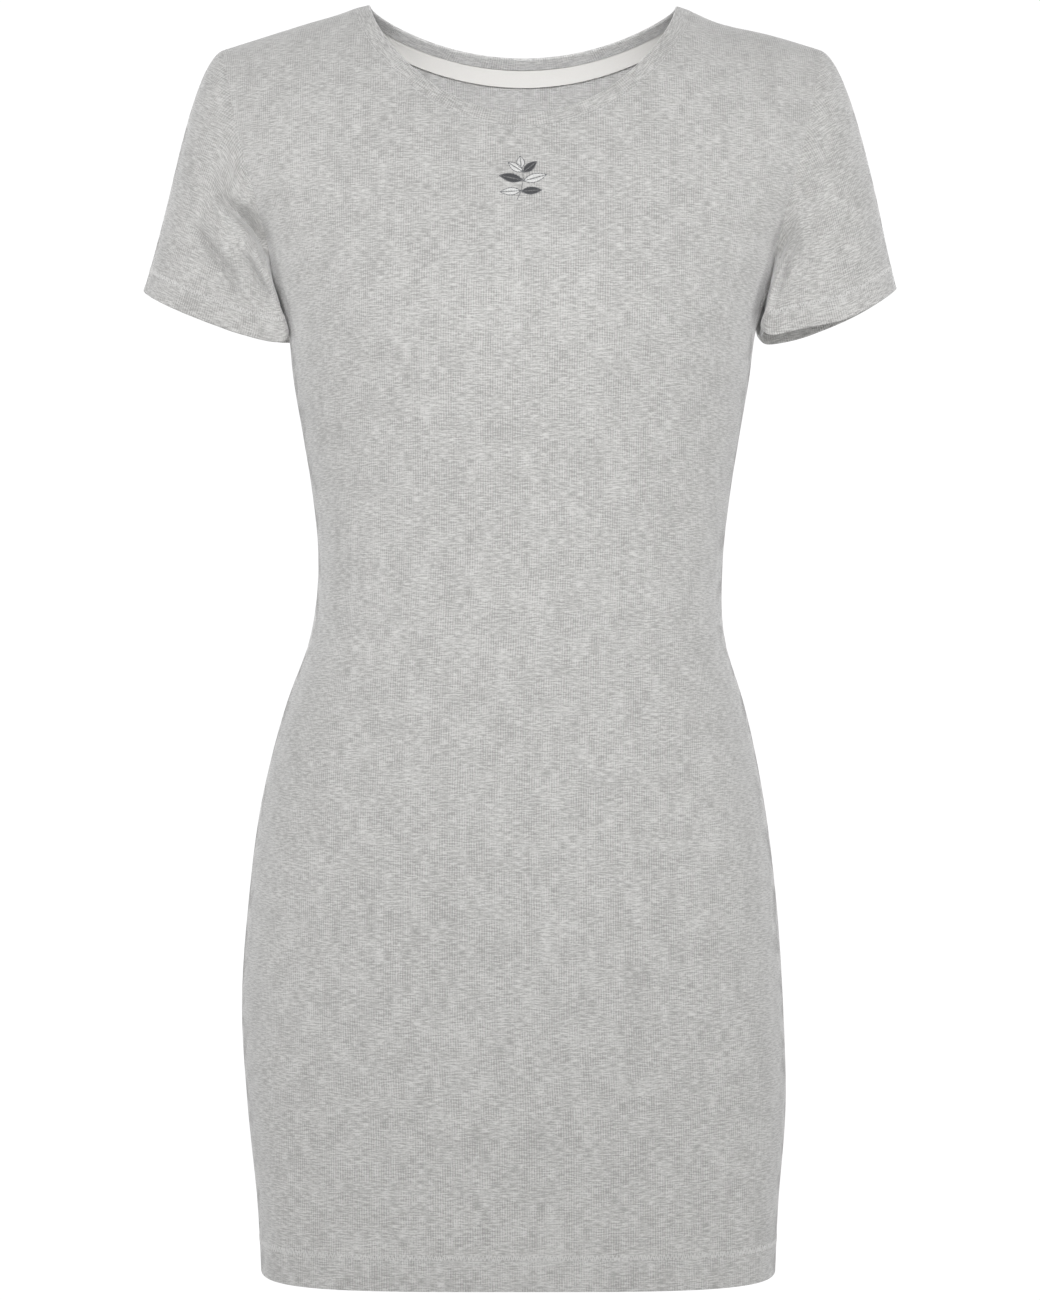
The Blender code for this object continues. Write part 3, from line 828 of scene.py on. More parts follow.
    def settle(self, points: Array) -> Array:
        """Lean the dress as it hangs, press its creases in and put the origin at the shoulders.

        Args:
            points: Points as drawn, with their height over the hem as Z.
        Returns:
            The same points in the frame.
        """
        placed = points.copy()
        x, height = points[..., 0], points[..., 2]
        placed[..., 0] += read_table(SECTIONS, "lean", height)
        span = self.cuff_shift_top - self.cuff_centre[1]
        cuffward = smoothstep((self.cuff_shift_top - height) / span)
        cuffward *= smoothstep((np.abs(x) - self.cuff_centre[0]) / self.cuff_half_width + 1)
        placed[..., 0] += self.cuff_shift * cuffward
        rise = self.rise(x, height)
        neckward = smoothstep((self.neck_half_width + 0.05 - np.abs(x)) / 0.05)
        placed[..., 0] += self.neck_offset * neckward * smoothstep(rise * 1.5)
        for crease in CREASES:
            outward = crease.face.sign * points[..., 1]
            pressed = crease.inward(placed[..., 0], height) * smoothstep(outward / self.crease_fade)
            placed[..., 1] -= crease.face.sign * pressed
        sag = np.exp(-(((x - self.shoulder_sag_x) / self.shoulder_sag_spread) ** 2))
        placed[..., 2] -= self.shoulder_sag * sag * rise**2
        placed[..., 2] -= self.length
        return placed


def grid_normals(grid: Array, ring: bool) -> Array:
    """Outward normals of a grid, whose columns close into a ring or not.

    Args:
        grid: Rows of points.
        ring: Whether its last column joins its first.
    Returns:
        A normal for each point.
    """
    if ring:
        around = np.roll(grid, -1, axis=1) - np.roll(grid, 1, axis=1)
    else:
        around = np.gradient(grid, axis=1)
    return unit(np.cross(around, np.gradient(grid, axis=0)))


def share_seam_normals(grids: dict[str, Array], normals: dict[str, Array]) -> None:
    """Give pieces the same normals where their borders meet.

    Args:
        grids: Each piece's points.
        normals: Each piece's normals, changed in place.
    """
    sums: dict[tuple[int, ...], Array] = {}
    borders = {}
    for name, grid in grids.items():
        rows, columns = grid.shape[:2]
        border = np.zeros((rows, columns), bool)
        border[[0, -1], :] = True
        border[:, [0, -1]] = True
        borders[name] = [tuple(index) for index in np.argwhere(border)]
        for index in borders[name]:
            key = tuple(np.round(grid[index] * 1e5).astype(int))
            sums[key] = sums.get(key, 0) + normals[name][index]
    for name, grid in grids.items():
        for index in borders[name]:
            key = tuple(np.round(grid[index] * 1e5).astype(int))
            normals[name][index] = unit(sums[key])


def add_object(name: str, data: bpy.types.ID) -> bpy.types.Object:
    """Put an object with its data in the scene.

    Args:
        name: The object's name.
        data: Its mesh, lamp or camera.
    Returns:
        The object.
    """
    made = bpy.data.objects.new(name, data)
    bpy.context.scene.collection.objects.link(made)
    return made


def add_mesh(
    name: str, shape: bmesh.types.BMesh, finishes: Sequence[bpy.types.Material]
) -> bpy.types.Object:
    """Put a finished shape in the scene and free the shape.

    Args:
        name: The object's name.
        shape: The finished shape.
        finishes: Its materials, in order.
    Returns:
        The object.
    """
    mesh = bpy.data.meshes.new(name)
    shape.to_mesh(mesh)
    shape.free()
    for finish in finishes:
        mesh.materials.append(finish)
    return add_object(name, mesh)


@dataclass
class Sheet:
    """A cut piece of cloth: a grid of points with normals and cloth coordinates in metres."""

    points: Array
    normals: Array
    cloth: Array
    ring: bool = False

    def _facing(self, edge: Edge) -> tuple[Array, Array, Array]:
        """Views of the grid with one border as the first row.

        Args:
            edge: The border.
        Returns:
            The points, normals and cloth places.
        """
        views = []
        for values in (self.points, self.normals, self.cloth):
            if edge in (Edge.LEFT, Edge.RIGHT):
                values = values.swapaxes(0, 1)
            views.append(values[::-1] if edge in (Edge.TOP, Edge.RIGHT) else values)
        return views[0], views[1], views[2]

    def _put(self, edge: Edge, grids: Sequence[Array]) -> None:
        """Take a changed grid back from the view that _facing gave.

        Args:
            edge: The border that was the first row.
            grids: The points, normals and cloth places.
        """
        placed = []
        for values in grids:
            values = values[::-1] if edge in (Edge.TOP, Edge.RIGHT) else values
            if edge in (Edge.LEFT, Edge.RIGHT):
                values = values.swapaxes(0, 1)
            placed.append(np.array(values))
        self.points, self.normals, self.cloth = placed

    def trim(self, edge: Edge, amount: float, reach: float) -> None:
        """Move a border into the piece.

        Args:
            edge: Which border.
            amount: How far it moves, along the cloth.
            reach: How far into the piece the cloth gives way.
        """
        points, normals, cloth = (np.array(view) for view in self._facing(edge))
        along = arc_lengths(points)
        for column in range(points.shape[1]):
            s = along[:, column]
            span = min(reach, s[-1])
            moved = np.where(s < span, amount + s * (span - amount) / span, s)
            for values in (points, normals, cloth):
                for part in range(values.shape[2]):
                    values[:, column, part] = np.interp(moved, s, values[:, column, part])
        self._put(edge, (points, unit(normals), cloth))

    def _add(self, edge: Edge, points: Array, normals: Array, cloth: Array) -> None:
        """Add rows outside a border, given from the border outwards.

        Args:
            edge: Which border.
            points: The new points.
            normals: Their normals.
            cloth: Their places on the flat cloth.
        """
        old = self._facing(edge)
        new = (points[::-1], unit(normals[::-1]), cloth[::-1])
        self._put(edge, [np.concatenate([a, b]) for a, b in zip(new, old)])

    def _bend(
        self, edge: Edge, radius: float, angle: int
    ) -> tuple[list[Array], list[Array], list[Array], Array]:
        """Bend the cloth past a border round to the inside.

        Args:
            edge: Which border.
            radius: Radius of the bend.
            angle: How far it goes round, in degrees, in steps of 30.
        Returns:
            Rows of points, normals and cloth places, and the way outwards on the flat cloth.
        """
        points, normals, cloth = self._facing(edge)
        outside = -unit(points[1] - points[0])
        outside = unit(outside - normals[0] * np.sum(outside * normals[0], -1, keepdims=True))
        step = unit(cloth[0] - cloth[1])
        rows, sides, places = [], [], []
        for turn in range(30, angle + 1, 30):
            turned = radians(turn)
            place = points[0] + outside * radius * sin(turned)
            rows.append(place - normals[0] * radius * (1 - cos(turned)))
            sides.append(normals[0] * cos(turned) + outside * sin(turned))
            places.append(cloth[0] + step * radius * turned)
        return rows, sides, places, step

    def turn_in(self, edge: Edge, radius: float, depth: Array | float) -> None:
        """Turn a border into the garment, as the allowance of a seam.

        Args:
            edge: Which border.
            radius: How tightly the cloth turns.
            depth: How deep the allowance goes past the turn, for each point of the border.
        """
        normals = self._facing(edge)[1]
        rows, sides, places, step = self._bend(edge, radius, 90)
        depth = np.broadcast_to(np.asarray(depth, float), normals.shape[1:2])[:, None]
        for share in (0.5, 1.0):
            rows.append(rows[2] - normals[0] * depth * share)
            sides.append(sides[2])
            places.append(places[2] + step * depth * share)
        self._add(edge, np.array(rows), np.array(sides), np.array(places))

    def fold_hem(self, edge: Edge, radius: float, depth: float) -> None:
        """Fold a border round to the inside and back along the piece.

        Args:
            edge: Which border.
            radius: Radius of the fold, half the distance between the two layers.
            depth: How far the turned cloth reaches.
        """
        rows, sides, places, step = self._bend(edge, radius, 180)
        folded = places[-1]
        along = arc_lengths(self._facing(edge)[0])
        count = max(3, int(np.searchsorted(along.mean(axis=1), depth)))
        for row in range(1, count + 1):
            s = depth * row / count
            place, normal = self.line(edge, s)
            rows.append(place - normal * 2 * radius)
            sides.append(-normal)
            places.append(folded + step * s)
        self._add(edge, np.array(rows), np.array(sides), np.array(places))

    def line(self, edge: Edge, distance: float, lift: float = 0.0) -> tuple[Array, Array]:
        """A line that far inside a border, lifted off the cloth, with its normals.

        Args:
            edge: Which border.
            distance: How far inside it the line runs.
            lift: How far the line stands off the cloth.
        Returns:
            The points of the line and their normals.
        """
        points, normals, _ = self._facing(edge)
        along = arc_lengths(points)
        place = np.empty_like(points[0])
        normal = np.empty_like(points[0])
        for column in range(points.shape[1]):
            for part in range(3):
                s = along[:, column]
                place[column, part] = np.interp(distance, s, points[:, column, part])
                normal[column, part] = np.interp(distance, s, normals[:, column, part])
        normal = unit(normal)
        return place + normal * lift, normal

    def build(
        self, name: str, thickness: float, finishes: Sequence[bpy.types.Material]
    ) -> bpy.types.Object:
        """Make the piece as a mesh with a wall.

        Args:
            name: The object's name.
            thickness: How thick the cloth is.
            finishes: The finish of its right side, and of its reverse where that differs.
        Returns:
            The object, with its place in its mesh.
        """
        points, cloth = self.points, self.cloth
        rows, columns = points.shape[:2]
        shape = bmesh.new()
        bmesh.ops.create_grid(shape, x_segments=columns - 1, y_segments=rows - 1, size=1.0)
        places = points.reshape(-1, 3)
        for vertex, place in zip(shape.verts, places):
            vertex.co = place
        layer = shape.loops.layers.uv.new(CLOTH_MAP)
        corners = cloth.reshape(-1, 2)
        for face in shape.faces:
            for loop in face.loops:
                loop[layer].uv = corners[loop.vert.index]
        if self.ring:
            seam = [v for v in shape.verts if v.index % columns in (0, columns - 1)]
            bmesh.ops.remove_doubles(shape, verts=seam, dist=1e-6)
        piece = add_mesh(name, shape, finishes)
        wall = piece.modifiers.new("wall", "SOLIDIFY")
        wall.thickness = thickness
        wall.offset = 0.0
        wall.use_quality_normals = True
        wall.material_offset = len(finishes) - 1
        apply_modifiers(piece)
        piece.data.shade_smooth()
        piece.data.set_sharp_from_angle(angle=radians(60))
        return piece


def apply_modifiers(piece: bpy.types.Object) -> None:
    """Keep a piece's mesh as its modifiers leave it.

    Args:
        piece: The piece.
    """
    bpy.context.view_layer.update()
    shown = piece.evaluated_get(bpy.context.evaluated_depsgraph_get())
    mesh = bpy.data.meshes.new_from_object(shown)
    old = piece.data
    piece.modifiers.clear()
    piece.data = mesh
    mesh.name = piece.name
    bpy.data.meshes.remove(old)


def strip_coordinates(points: Array) -> Array:
    """Lay a ring or a strip out flat.

    Args:
        points: Its points, whose last row is straight on the flat cloth.
    Returns:
        Width along the last row and length from it, in metres.
    """
    along = arc_lengths(points)
    width = np.broadcast_to(arc_lengths(points[-1]), points.shape[:2])
    return np.stack([width, along - along[-1]], axis=-1)


class Wire:
    """A number in a material, with the sums that Python writes on it."""

    def __init__(self, graph: Graph, socket: bpy.types.NodeSocket) -> None:
        """Hold the socket and the graph that new nodes go to."""
        self.graph = graph
        self.socket = socket

    def __add__(self, other: Wire | float) -> Wire:
        """Add."""
        return self.graph.maths("ADD", self, other)

    def __sub__(self, other: Wire | float) -> Wire:
        """Subtract."""
        return self.graph.maths("SUBTRACT", self, other)

    def __mul__(self, other: Wire | float) -> Wire:
        """Multiply."""
        return self.graph.maths("MULTIPLY", self, other)

    def __truediv__(self, other: Wire | float) -> Wire:
        """Divide."""
        return self.graph.maths("DIVIDE", self, other)

    def __radd__(self, other: Wire | float) -> Wire:
        """Add, with the number first."""
        return self.graph.maths("ADD", other, self)

    def __rsub__(self, other: Wire | float) -> Wire:
        """Subtract from a number."""
        return self.graph.maths("SUBTRACT", other, self)

    def __rmul__(self, other: Wire | float) -> Wire:
        """Multiply, with the number first."""
        return self.graph.maths("MULTIPLY", other, self)

    def __rtruediv__(self, other: Wire | float) -> Wire:
        """Divide a number."""
        return self.graph.maths("DIVIDE", other, self)

    def sine(self) -> Wire:
        """Sine of an angle in radians."""
        return self.graph.maths("SINE", self)


class Graph:
    """A material's node tree, written as plain expressions."""

    def __init__(self, name: str) -> None:
        """Start a material with its surface shader.

        Args:
            name: The material's name.
        """
        self.material = bpy.data.materials.new(name)
        self.material.use_nodes = True
        self.tree = self.material.node_tree
        self.shader = self.tree.nodes["Principled BSDF"]

    def node(self, kind: str, settings: dict[str, Any], sockets: dict[Any, Any]) -> bpy.types.Node:
        """Add one node.

        Args:
            kind: The node's type.
            settings: Its settings, and "stops" for a ramp's places and colours.
            sockets: Values or links of its inputs, by name or number.
        Returns:
            The node.
        """
        made = self.tree.nodes.new(kind)
        for name, value in settings.items():
            if name == "stops":
                ramp = made.color_ramp.elements
                while len(ramp) < len(value):
                    ramp.new(0.5)
                for element, (place, colour) in zip(ramp, value):
                    element.position = place
                    element.color = colour
            else:
                setattr(made, name, value)
        for name, value in sockets.items():
            self.join(value, made.inputs[name])
        return made

    def join(self, value: Any, socket: bpy.types.NodeSocket) -> None:
        """Set an input to a value, or link it to a wire or socket.

        Args:
            value: A number, a colour, a wire or a socket.
            socket: The input.
        """
        if isinstance(value, Wire):
            value = value.socket
        if isinstance(value, bpy.types.NodeSocket):
            self.tree.links.new(value, socket)
        else:
            socket.default_value = value

    def maths(self, operation: str, first: Wire | float, second: Wire | float = 0.0) -> Wire:
        """Add a Math node and give its result."""
        made = self.node("ShaderNodeMath", {"operation": operation}, {0: first, 1: second})
        return Wire(self, made.outputs[0])

    def cloth(self) -> tuple[Wire, Wire]:
        """Width and length on the flat cloth, in metres.

        Returns:
            The two as wires.
        """
        place = self.node("ShaderNodeUVMap", {"uv_map": CLOTH_MAP}, {})
        parts = self.node("ShaderNodeSeparateXYZ", {}, {0: place.outputs[0]})
        return Wire(self, parts.outputs[0]), Wire(self, parts.outputs[1])

    def point(self, x: Wire | float, y: Wire | float, z: Wire | float) -> bpy.types.NodeSocket:
        """Put three numbers together as a place."""
        return self.node("ShaderNodeCombineXYZ", {}, {0: x, 1: y, 2: z}).outputs[0]

    def noise(self, place: Any, scale: float, detail: float = 2.0, rough: float = 0.5) -> Wire:
        """Smooth random values from 0 to 1 over a place."""
        sockets = {"Vector": place, "Scale": scale, "Detail": detail, "Roughness": rough}
        return Wire(self, self.node("ShaderNodeTexNoise", {}, sockets).outputs[0])

    def spread(self, value: Wire, low: float, high: float, first: float, last: float) -> Wire:
        """Map a range of values to another, held at its ends."""
        sockets = {0: value, 1: low, 2: high, 3: first, 4: last}
        return Wire(self, self.node("ShaderNodeMapRange", {"clamp": True}, sockets).outputs[0])

    def mix(self, share: Wire | float, first: Any, second: Any) -> bpy.types.NodeSocket:
        """Mix two colours.

        Args:
            share: How much of the second colour shows.
            first: The first colour.
            second: The second colour.
        Returns:
            The mixed colour.
        """
        settings = {"data_type": "RGBA"}
        made = self.node("ShaderNodeMix", settings, {0: share, 6: first, 7: second})
        return made.outputs[2]

    def bump(self, height: Wire, distance: float, strength: float) -> bpy.types.NodeSocket:
        """Raise the surface by a height."""
        sockets = {"Height": height, "Distance": distance, "Strength": strength}
        return self.node("ShaderNodeBump", {}, sockets).outputs[0]

    def finish(self, inputs: dict[str, Any]) -> bpy.types.Material:
        """Set the surface shader's inputs and give the material.

        Args:
            inputs: Values, wires or sockets, by the name of the input.
        Returns:
            The material.
        """
        for name, value in inputs.items():
            self.join(value, self.shader.inputs[name])
        return self.material


@dataclass(frozen=True)
class HeatherJersey:
    """Fine rib jersey knitted from mixed grey yarn."""

    name: str = "heather_rib_jersey"
    light: tuple[float, float, float, float] = (0.655, 0.650, 0.637, 1.0)
    dark: tuple[float, float, float, float] = (0.375, 0.370, 0.362, 1.0)
    rib_pitch: float = 1.5 * MM
    course_pitch: float = 0.95 * MM
    fleck: tuple[float, float] = (5.6 * MM, 0.8 * MM)
    fine_fleck: tuple[float, float] = (1.4 * MM, 0.55 * MM)

    def make(self) -> bpy.types.Material:
        """Build the material.

        Returns:
            The material.
        """
        graph = Graph(self.name)
        u, v = graph.cloth()
        wander = graph.noise(graph.point(u, v, 0.0), 90.0, 1.0)
        rib = (u * (2 * pi / self.rib_pitch) + wander * 3.0).sine() * 0.5 + 0.5
        course = (v * (2 * pi / self.course_pitch) + wander * 5.0).sine() * 0.5 + 0.5
        wide, tall = self.fleck
        flecks = graph.noise(graph.point(u / wide, v / tall, 0.0), 1.0, 1.0, 0.5)
        wide, tall = self.fine_fleck
        fine = graph.noise(graph.point(u / wide, v / tall, 4.0), 1.0, 1.0, 0.5)
        specks = graph.noise(graph.point(u / wide, v / tall, 9.0), 0.8, 0.0)
        specks = graph.spread(specks, 0.68, 0.80, 0.0, 1.0)
        clouds = graph.noise(graph.point(u, v, 7.0), 60.0, 2.0, 0.5)
        drift = graph.noise(graph.point(u, v, 11.0), 9.0, 1.0, 0.5)
        shown = graph.spread(graph.noise(graph.point(u, v, 2.0), 75.0, 1.0), 0.42, 0.6, 0.15, 1.0)
        ribbing = (rib - 0.5) * shown
        tone = (flecks - 0.5) * 2.6 + (fine - 0.5) * 1.4 + (clouds - 0.5) * 0.7
        # painted shade: the rib pattern also goes into the colour, painting the valleys between the
        # ribs darker and the ribs paler, besides their bump
        tone = tone + ribbing * 0.60 + (drift - 0.5) * 0.25 - specks * 0.4
        colour = graph.mix(graph.spread(tone, -0.5, 0.5, 0.0, 1.0), self.dark, self.light)
        height = ribbing * 1.1 + course * 0.2 + flecks * 0.5 + fine * 0.3
        return graph.finish(
            {
                "Base Color": colour,
                "Roughness": 0.92,
                "Normal": graph.bump(height, 0.25 * MM, 0.8),
                "Sheen Weight": 0.8,
                "Sheen Roughness": 0.5,
                "Specular IOR Level": 0.2,
            }
        )


@dataclass(frozen=True)
class WovenTape:
    """Plain off-white herringbone tape."""

    name: str = "woven_tape"
    colour: tuple[float, float, float, float] = (0.96, 0.945, 0.92, 1.0)
    shade: tuple[float, float, float, float] = (0.90, 0.885, 0.855, 1.0)
    twill_pitch: float = 0.8 * MM

    def make(self) -> bpy.types.Material:
        """Build the material.

        Returns:
            The material.
        """
        graph = Graph(self.name)
        u, v = graph.cloth()
        twill = ((u + v) * (2 * pi / self.twill_pitch)).sine() * 0.5 + 0.5
        grain = graph.noise(graph.point(u, v, 0.0), 600.0, 2.0)
        # painted shade: the twill's grooves take the darker shade colour, besides their bump; the
        # grain is random tone
        colour = graph.mix(twill * 0.5 + grain * 0.5, self.shade, self.colour)
        return graph.finish(
            {
                "Base Color": colour,
                "Roughness": 0.8,
                "Normal": graph.bump(twill, 0.1 * MM, 0.6),
            }
        )


@dataclass(frozen=True)
class Thread:
    """Sewing or embroidery thread of one colour."""

    name: str = "grey_thread"
    colour: tuple[float, float, float, float] = (0.80, 0.795, 0.785, 1.0)
    roughness: float = 0.6

    def make(self) -> bpy.types.Material:
        """Build the material.

        Returns:
            The material.
        """
        graph = Graph(self.name)
        place = graph.node("ShaderNodeTexCoord", {}, {}).outputs["Object"]
        fleck = graph.noise(place, 1800.0, 2.0)
        darker = tuple(0.72 * part for part in self.colour[:3]) + (1.0,)
        colour = graph.mix(graph.spread(fleck, 0.3, 0.7, 0.0, 1.0), darker, self.colour)
        return graph.finish(
            {
                "Base Color": colour,
                "Roughness": self.roughness,
                "Normal": graph.bump(fleck, 0.05 * MM, 0.5),
                "Sheen Weight": 0.2,
            }
        )


@dataclass(frozen=True)
class PaleFloor:
    """A plain pale studio floor."""

    name: str = "pale_floor"
    colour: tuple[float, float, float, float] = (0.86, 0.86, 0.86, 1.0)

    def make(self) -> bpy.types.Material:
        """Build the material."""
        return Graph(self.name).finish({"Base Color": self.colour, "Roughness": 0.9})


@dataclass
class Dressmaker:
    """Cuts, sews and finishes the five pieces of jersey."""

    form: DressForm
    thickness: float = 0.7 * MM
    turn_radius: float = 0.36 * MM
    allowance: float = 4.0 * MM
    neck_allowance: float = 0.3 * MM
    hem_radius: float = 0.55 * MM
    cuff_hem: float = 0.018
    trim_reach: float = 0.009
    hem_gap: float = 0.004
    hem_fade: float = 0.01
    neck_fade: float = 0.006
    band_reach: float = 0.004
    band_lap: float = 0.002
    sleeve_rows: int = 84
    band_rows: int = 12
    band_radius: float = 0.75 * MM
    stitch_lines: dict[str, tuple[Edge, tuple[float, float]]] = field(
        default_factory=lambda: {
            "front": (Edge.BOTTOM, (0.0182, 0.0230)),
            "back": (Edge.BOTTOM, (0.0182, 0.0230)),
            "sleeve_right": (Edge.TOP, (0.0126, 0.0164)),
            "sleeve_left": (Edge.TOP, (0.0126, 0.0164)),
        }
    )
    stitch_pitch: float = 2.4 * MM
    hem_thread: float = 0.50 * MM
    neck_stitch: float = 1.7 * MM
    neck_fill: float = 0.75
    neck_thread: tuple[float, float] = (0.45 * MM, 0.40 * MM)
    turn_ease: float = 0.17
    hem_allowance: float = 0.1 * MM
    sheets: dict[str, Sheet] = field(default_factory=dict)
    lines: dict[str, list[tuple[Array, Array]]] = field(default_factory=dict)
    neck_lines: dict[str, tuple[Array, Array]] = field(default_factory=dict)

    @property
    def inset(self) -> float:
        """How far a seamed border stands back from its seam line before it turns in."""
        return self.turn_radius + self.turn_ease * self.thickness

    def cut(self) -> None:
        """Work out every piece's grid, with shared normals along the seams."""
        front, foot = self.form.panel(Face.FRONT)
        back, _ = self.form.panel(Face.BACK)
        down = front[foot:, -1][::-1]
        up = back[foot + 1 : -1, 0]
        ring = np.concatenate([down, up])
        under = len(down) - 1
        right = self.form.sleeve(Side.RIGHT, ring, under, self.sleeve_rows)
        left = self.form.sleeve(Side.LEFT, ring, under, self.sleeve_rows)
        left = left[:, ::-1] * np.array([-1.0, 1.0, 1.0])
        grids = {
            "front": self.form.settle(front),
            "back": self.form.settle(back),
            "sleeve_right": self.form.settle(right),
            "sleeve_left": self.form.settle(left),
            "neckband": self.form.settle(self.form.neckband(self.band_rows)),
        }
        rings = ("sleeve_right", "sleeve_left", "neckband")
        normals = {name: grid_normals(grid, name in rings) for name, grid in grids.items()}
        share_seam_normals(grids, normals)
        for name in rings:
            points = np.concatenate([grids[name], grids[name][:, :1]], axis=1)
            normal = np.concatenate([normals[name], normals[name][:, :1]], axis=1)
            self.sheets[name] = Sheet(points, normal, strip_coordinates(points), True)
        for face, drawn in ((Face.FRONT, front), (Face.BACK, back)):
            cloth = self.form.flat_place(face, drawn[..., 0], drawn[..., 2])
            name = face.value
            self.sheets[name] = Sheet(grids[name], normals[name], cloth)

    def mark(self) -> None:
        """Draw the stitch lines on the pieces, before their edges turn in."""
        for name, (edge, places) in self.stitch_lines.items():
            sheet = self.sheets[name]
            self.lines[name] = [sheet.line(edge, place, self.thickness / 2) for place in places]
        for name in ("front", "back"):
            sheet = self.sheets[name]
            points, normals = sheet.line(Edge.TOP, self.neck_stitch, self.thickness / 2)
            neck = np.abs(sheet.points[-1, :, 0]) < self.form.neck_half_width + self.form.band_width
            self.neck_lines[name] = (points[neck], normals[neck])

    def stitch(self, thread: bpy.types.Material) -> dict[str, bpy.types.Object]:
        """Sew the hems of the panels and of the sleeves, and topstitch round the neck.

        Args:
            thread: The sewing thread.
        Returns:
            The stitches of each piece, by its name.
        """
        made = {}
        for name, ((low, normals), (high, _)) in self.lines.items():
            sewing = Stitching(name + "_stitches", thread)
            sewing.zigzag(low, high, normals, self.stitch_pitch, self.hem_thread, self.hem_thread)
            if name in self.neck_lines:
                line, facing = self.neck_lines[name]
                sewing.row(line, facing, self.stitch_pitch, self.neck_fill, *self.neck_thread)
            made[name] = sewing.build()
        return made

    def sew_panel(self, name: str) -> None:
        """Turn a panel's sides and top into their seams and fold its hem.

        Args:
            name: Which panel.
        """
        sheet = self.sheets[name]
        sheet.trim(Edge.LEFT, self.inset, self.trim_reach)
        sheet.trim(Edge.RIGHT, self.inset, self.trim_reach)
        sheet.trim(Edge.TOP, self.inset, self.trim_reach)
        sheet.trim(Edge.BOTTOM, self.hem_radius, self.trim_reach)
        rows = sheet.points.shape[0]
        sheet.fold_hem(Edge.BOTTOM, self.hem_radius, self.form.hem_depth)
        added = sheet.points.shape[0] - rows
        height = sheet.points[:, 0, 2] + self.form.length
        above_hem = smoothstep((height - self.form.hem_depth - self.hem_gap) / self.hem_fade)
        above_hem[:added] = 0
        depth = self.hem_allowance + self.allowance * above_hem
        sheet.turn_in(Edge.LEFT, self.turn_radius, depth)
        sheet.turn_in(Edge.RIGHT, self.turn_radius, depth)
        x = np.abs(sheet.points[-1, :, 0])
        past_neck = smoothstep((x - self.form.neck_half_width - self.form.band_width) / self.neck_fade)
        depth = self.neck_allowance + (self.allowance - self.neck_allowance) * past_neck
        sheet.turn_in(Edge.TOP, self.turn_radius, depth)

    def sew_sleeve(self, name: str) -> None:
        """Turn a sleeve's head into its seam and fold its cuff.

        Args:
            name: Which sleeve.
        """
        sheet = self.sheets[name]
        sheet.trim(Edge.BOTTOM, self.inset, self.trim_reach)
        sheet.trim(Edge.TOP, self.hem_radius, self.trim_reach)
        sheet.fold_hem(Edge.TOP, self.hem_radius, self.cuff_hem)
        sheet.turn_in(Edge.BOTTOM, self.turn_radius, self.allowance)

    def sew_neckband(self) -> None:
        """Fold the neckband double and turn its seam in."""
        sheet = self.sheets["neckband"]
        sheet.trim(Edge.BOTTOM, self.inset, self.band_reach)
        sheet.trim(Edge.TOP, self.band_radius, self.band_reach)
        sheet.fold_hem(Edge.TOP, self.band_radius, self.form.band_width - self.band_lap)
        sheet.turn_in(Edge.BOTTOM, self.turn_radius, self.neck_allowance)

    def sew(self) -> None:
        """Sew every piece."""
        self.mark()
        for name in ("front", "back"):
            self.sew_panel(name)
        for name in ("sleeve_right", "sleeve_left"):
            self.sew_sleeve(name)
        self.sew_neckband()

    def build(self) -> dict[str, bpy.types.Object]:
        """Make the five pieces of jersey, with painted light on the reverse: paler there, and palest
        inside the sleeves and the neckband.

        Returns:
            The pieces by name.
        """
        jersey = HeatherJersey()
        # painted light: the reverse is painted paler than the right side, so the shaded inside of the
        # dress reads brighter
        reverse = replace(
            jersey,
            name="heather_rib_jersey_reverse_painted_light",
            light=(0.70, 0.695, 0.687, 1.0),
            dark=(0.45, 0.445, 0.44, 1.0),
        )
        # painted light: a still paler copy for the inside of the sleeves and the neckband, where
        # little light reaches
        palest_painted_light = replace(
            jersey,
            name="heather_rib_jersey_inside_painted_light",
            light=(0.93, 0.925, 0.915, 1.0),
            dark=(0.63, 0.625, 0.62, 1.0),
        )
        right_side, inner, inside_painted_light = jersey.make(), reverse.make(), palest_painted_light.make()
        made = {}
        for name, sheet in self.sheets.items():
            finishes = [right_side, inner if name in ("front", "back") else inside_painted_light]
            made[name] = sheet.build(name + "_cloth", self.thickness, finishes)
        # painted light: the neckband's inward faces take the palest copy
        for face in made["neckband"].data.polygons:
            if face.normal.x * face.center.x + face.normal.y * face.center.y < 0:
                face.material_index = 1
        return made


@dataclass
class NeckTape:
    """The tape over the back neck seam, inside."""

    form: DressForm
    width: float = 0.0118
    turn: float = radians(79)
    thickness: float = 0.6 * MM
    gap: float = 0.45 * MM
    panel_thickness: float = 0.7 * MM
    seam_cover: float = 0.0013
    columns: int = 80
    rows: int = 7

    def build(self, material: bpy.types.Material) -> bpy.types.Object:
        """Lay the tape on the inside of the back panel.

        Args:
            material: Its finish.
        Returns:
            The tape.
        """
        turns = np.linspace(self.turn, -self.turn, 2 * self.columns + 1)
        grid = []
        start = self.form.band_width - self.seam_cover
        for outset in np.linspace(start + self.width, start, self.rows):
            grid.append(self.form.body(Face.BACK, *self.form.neck_line(Face.BACK, turns, outset)))
        points = self.form.settle(np.array(grid))
        normals = grid_normals(points, False)
        points = points - normals * (self.panel_thickness + self.gap)
        cloth = strip_coordinates(points)
        return Sheet(points, normals, cloth).build("neck_tape_cloth", self.thickness, [material])


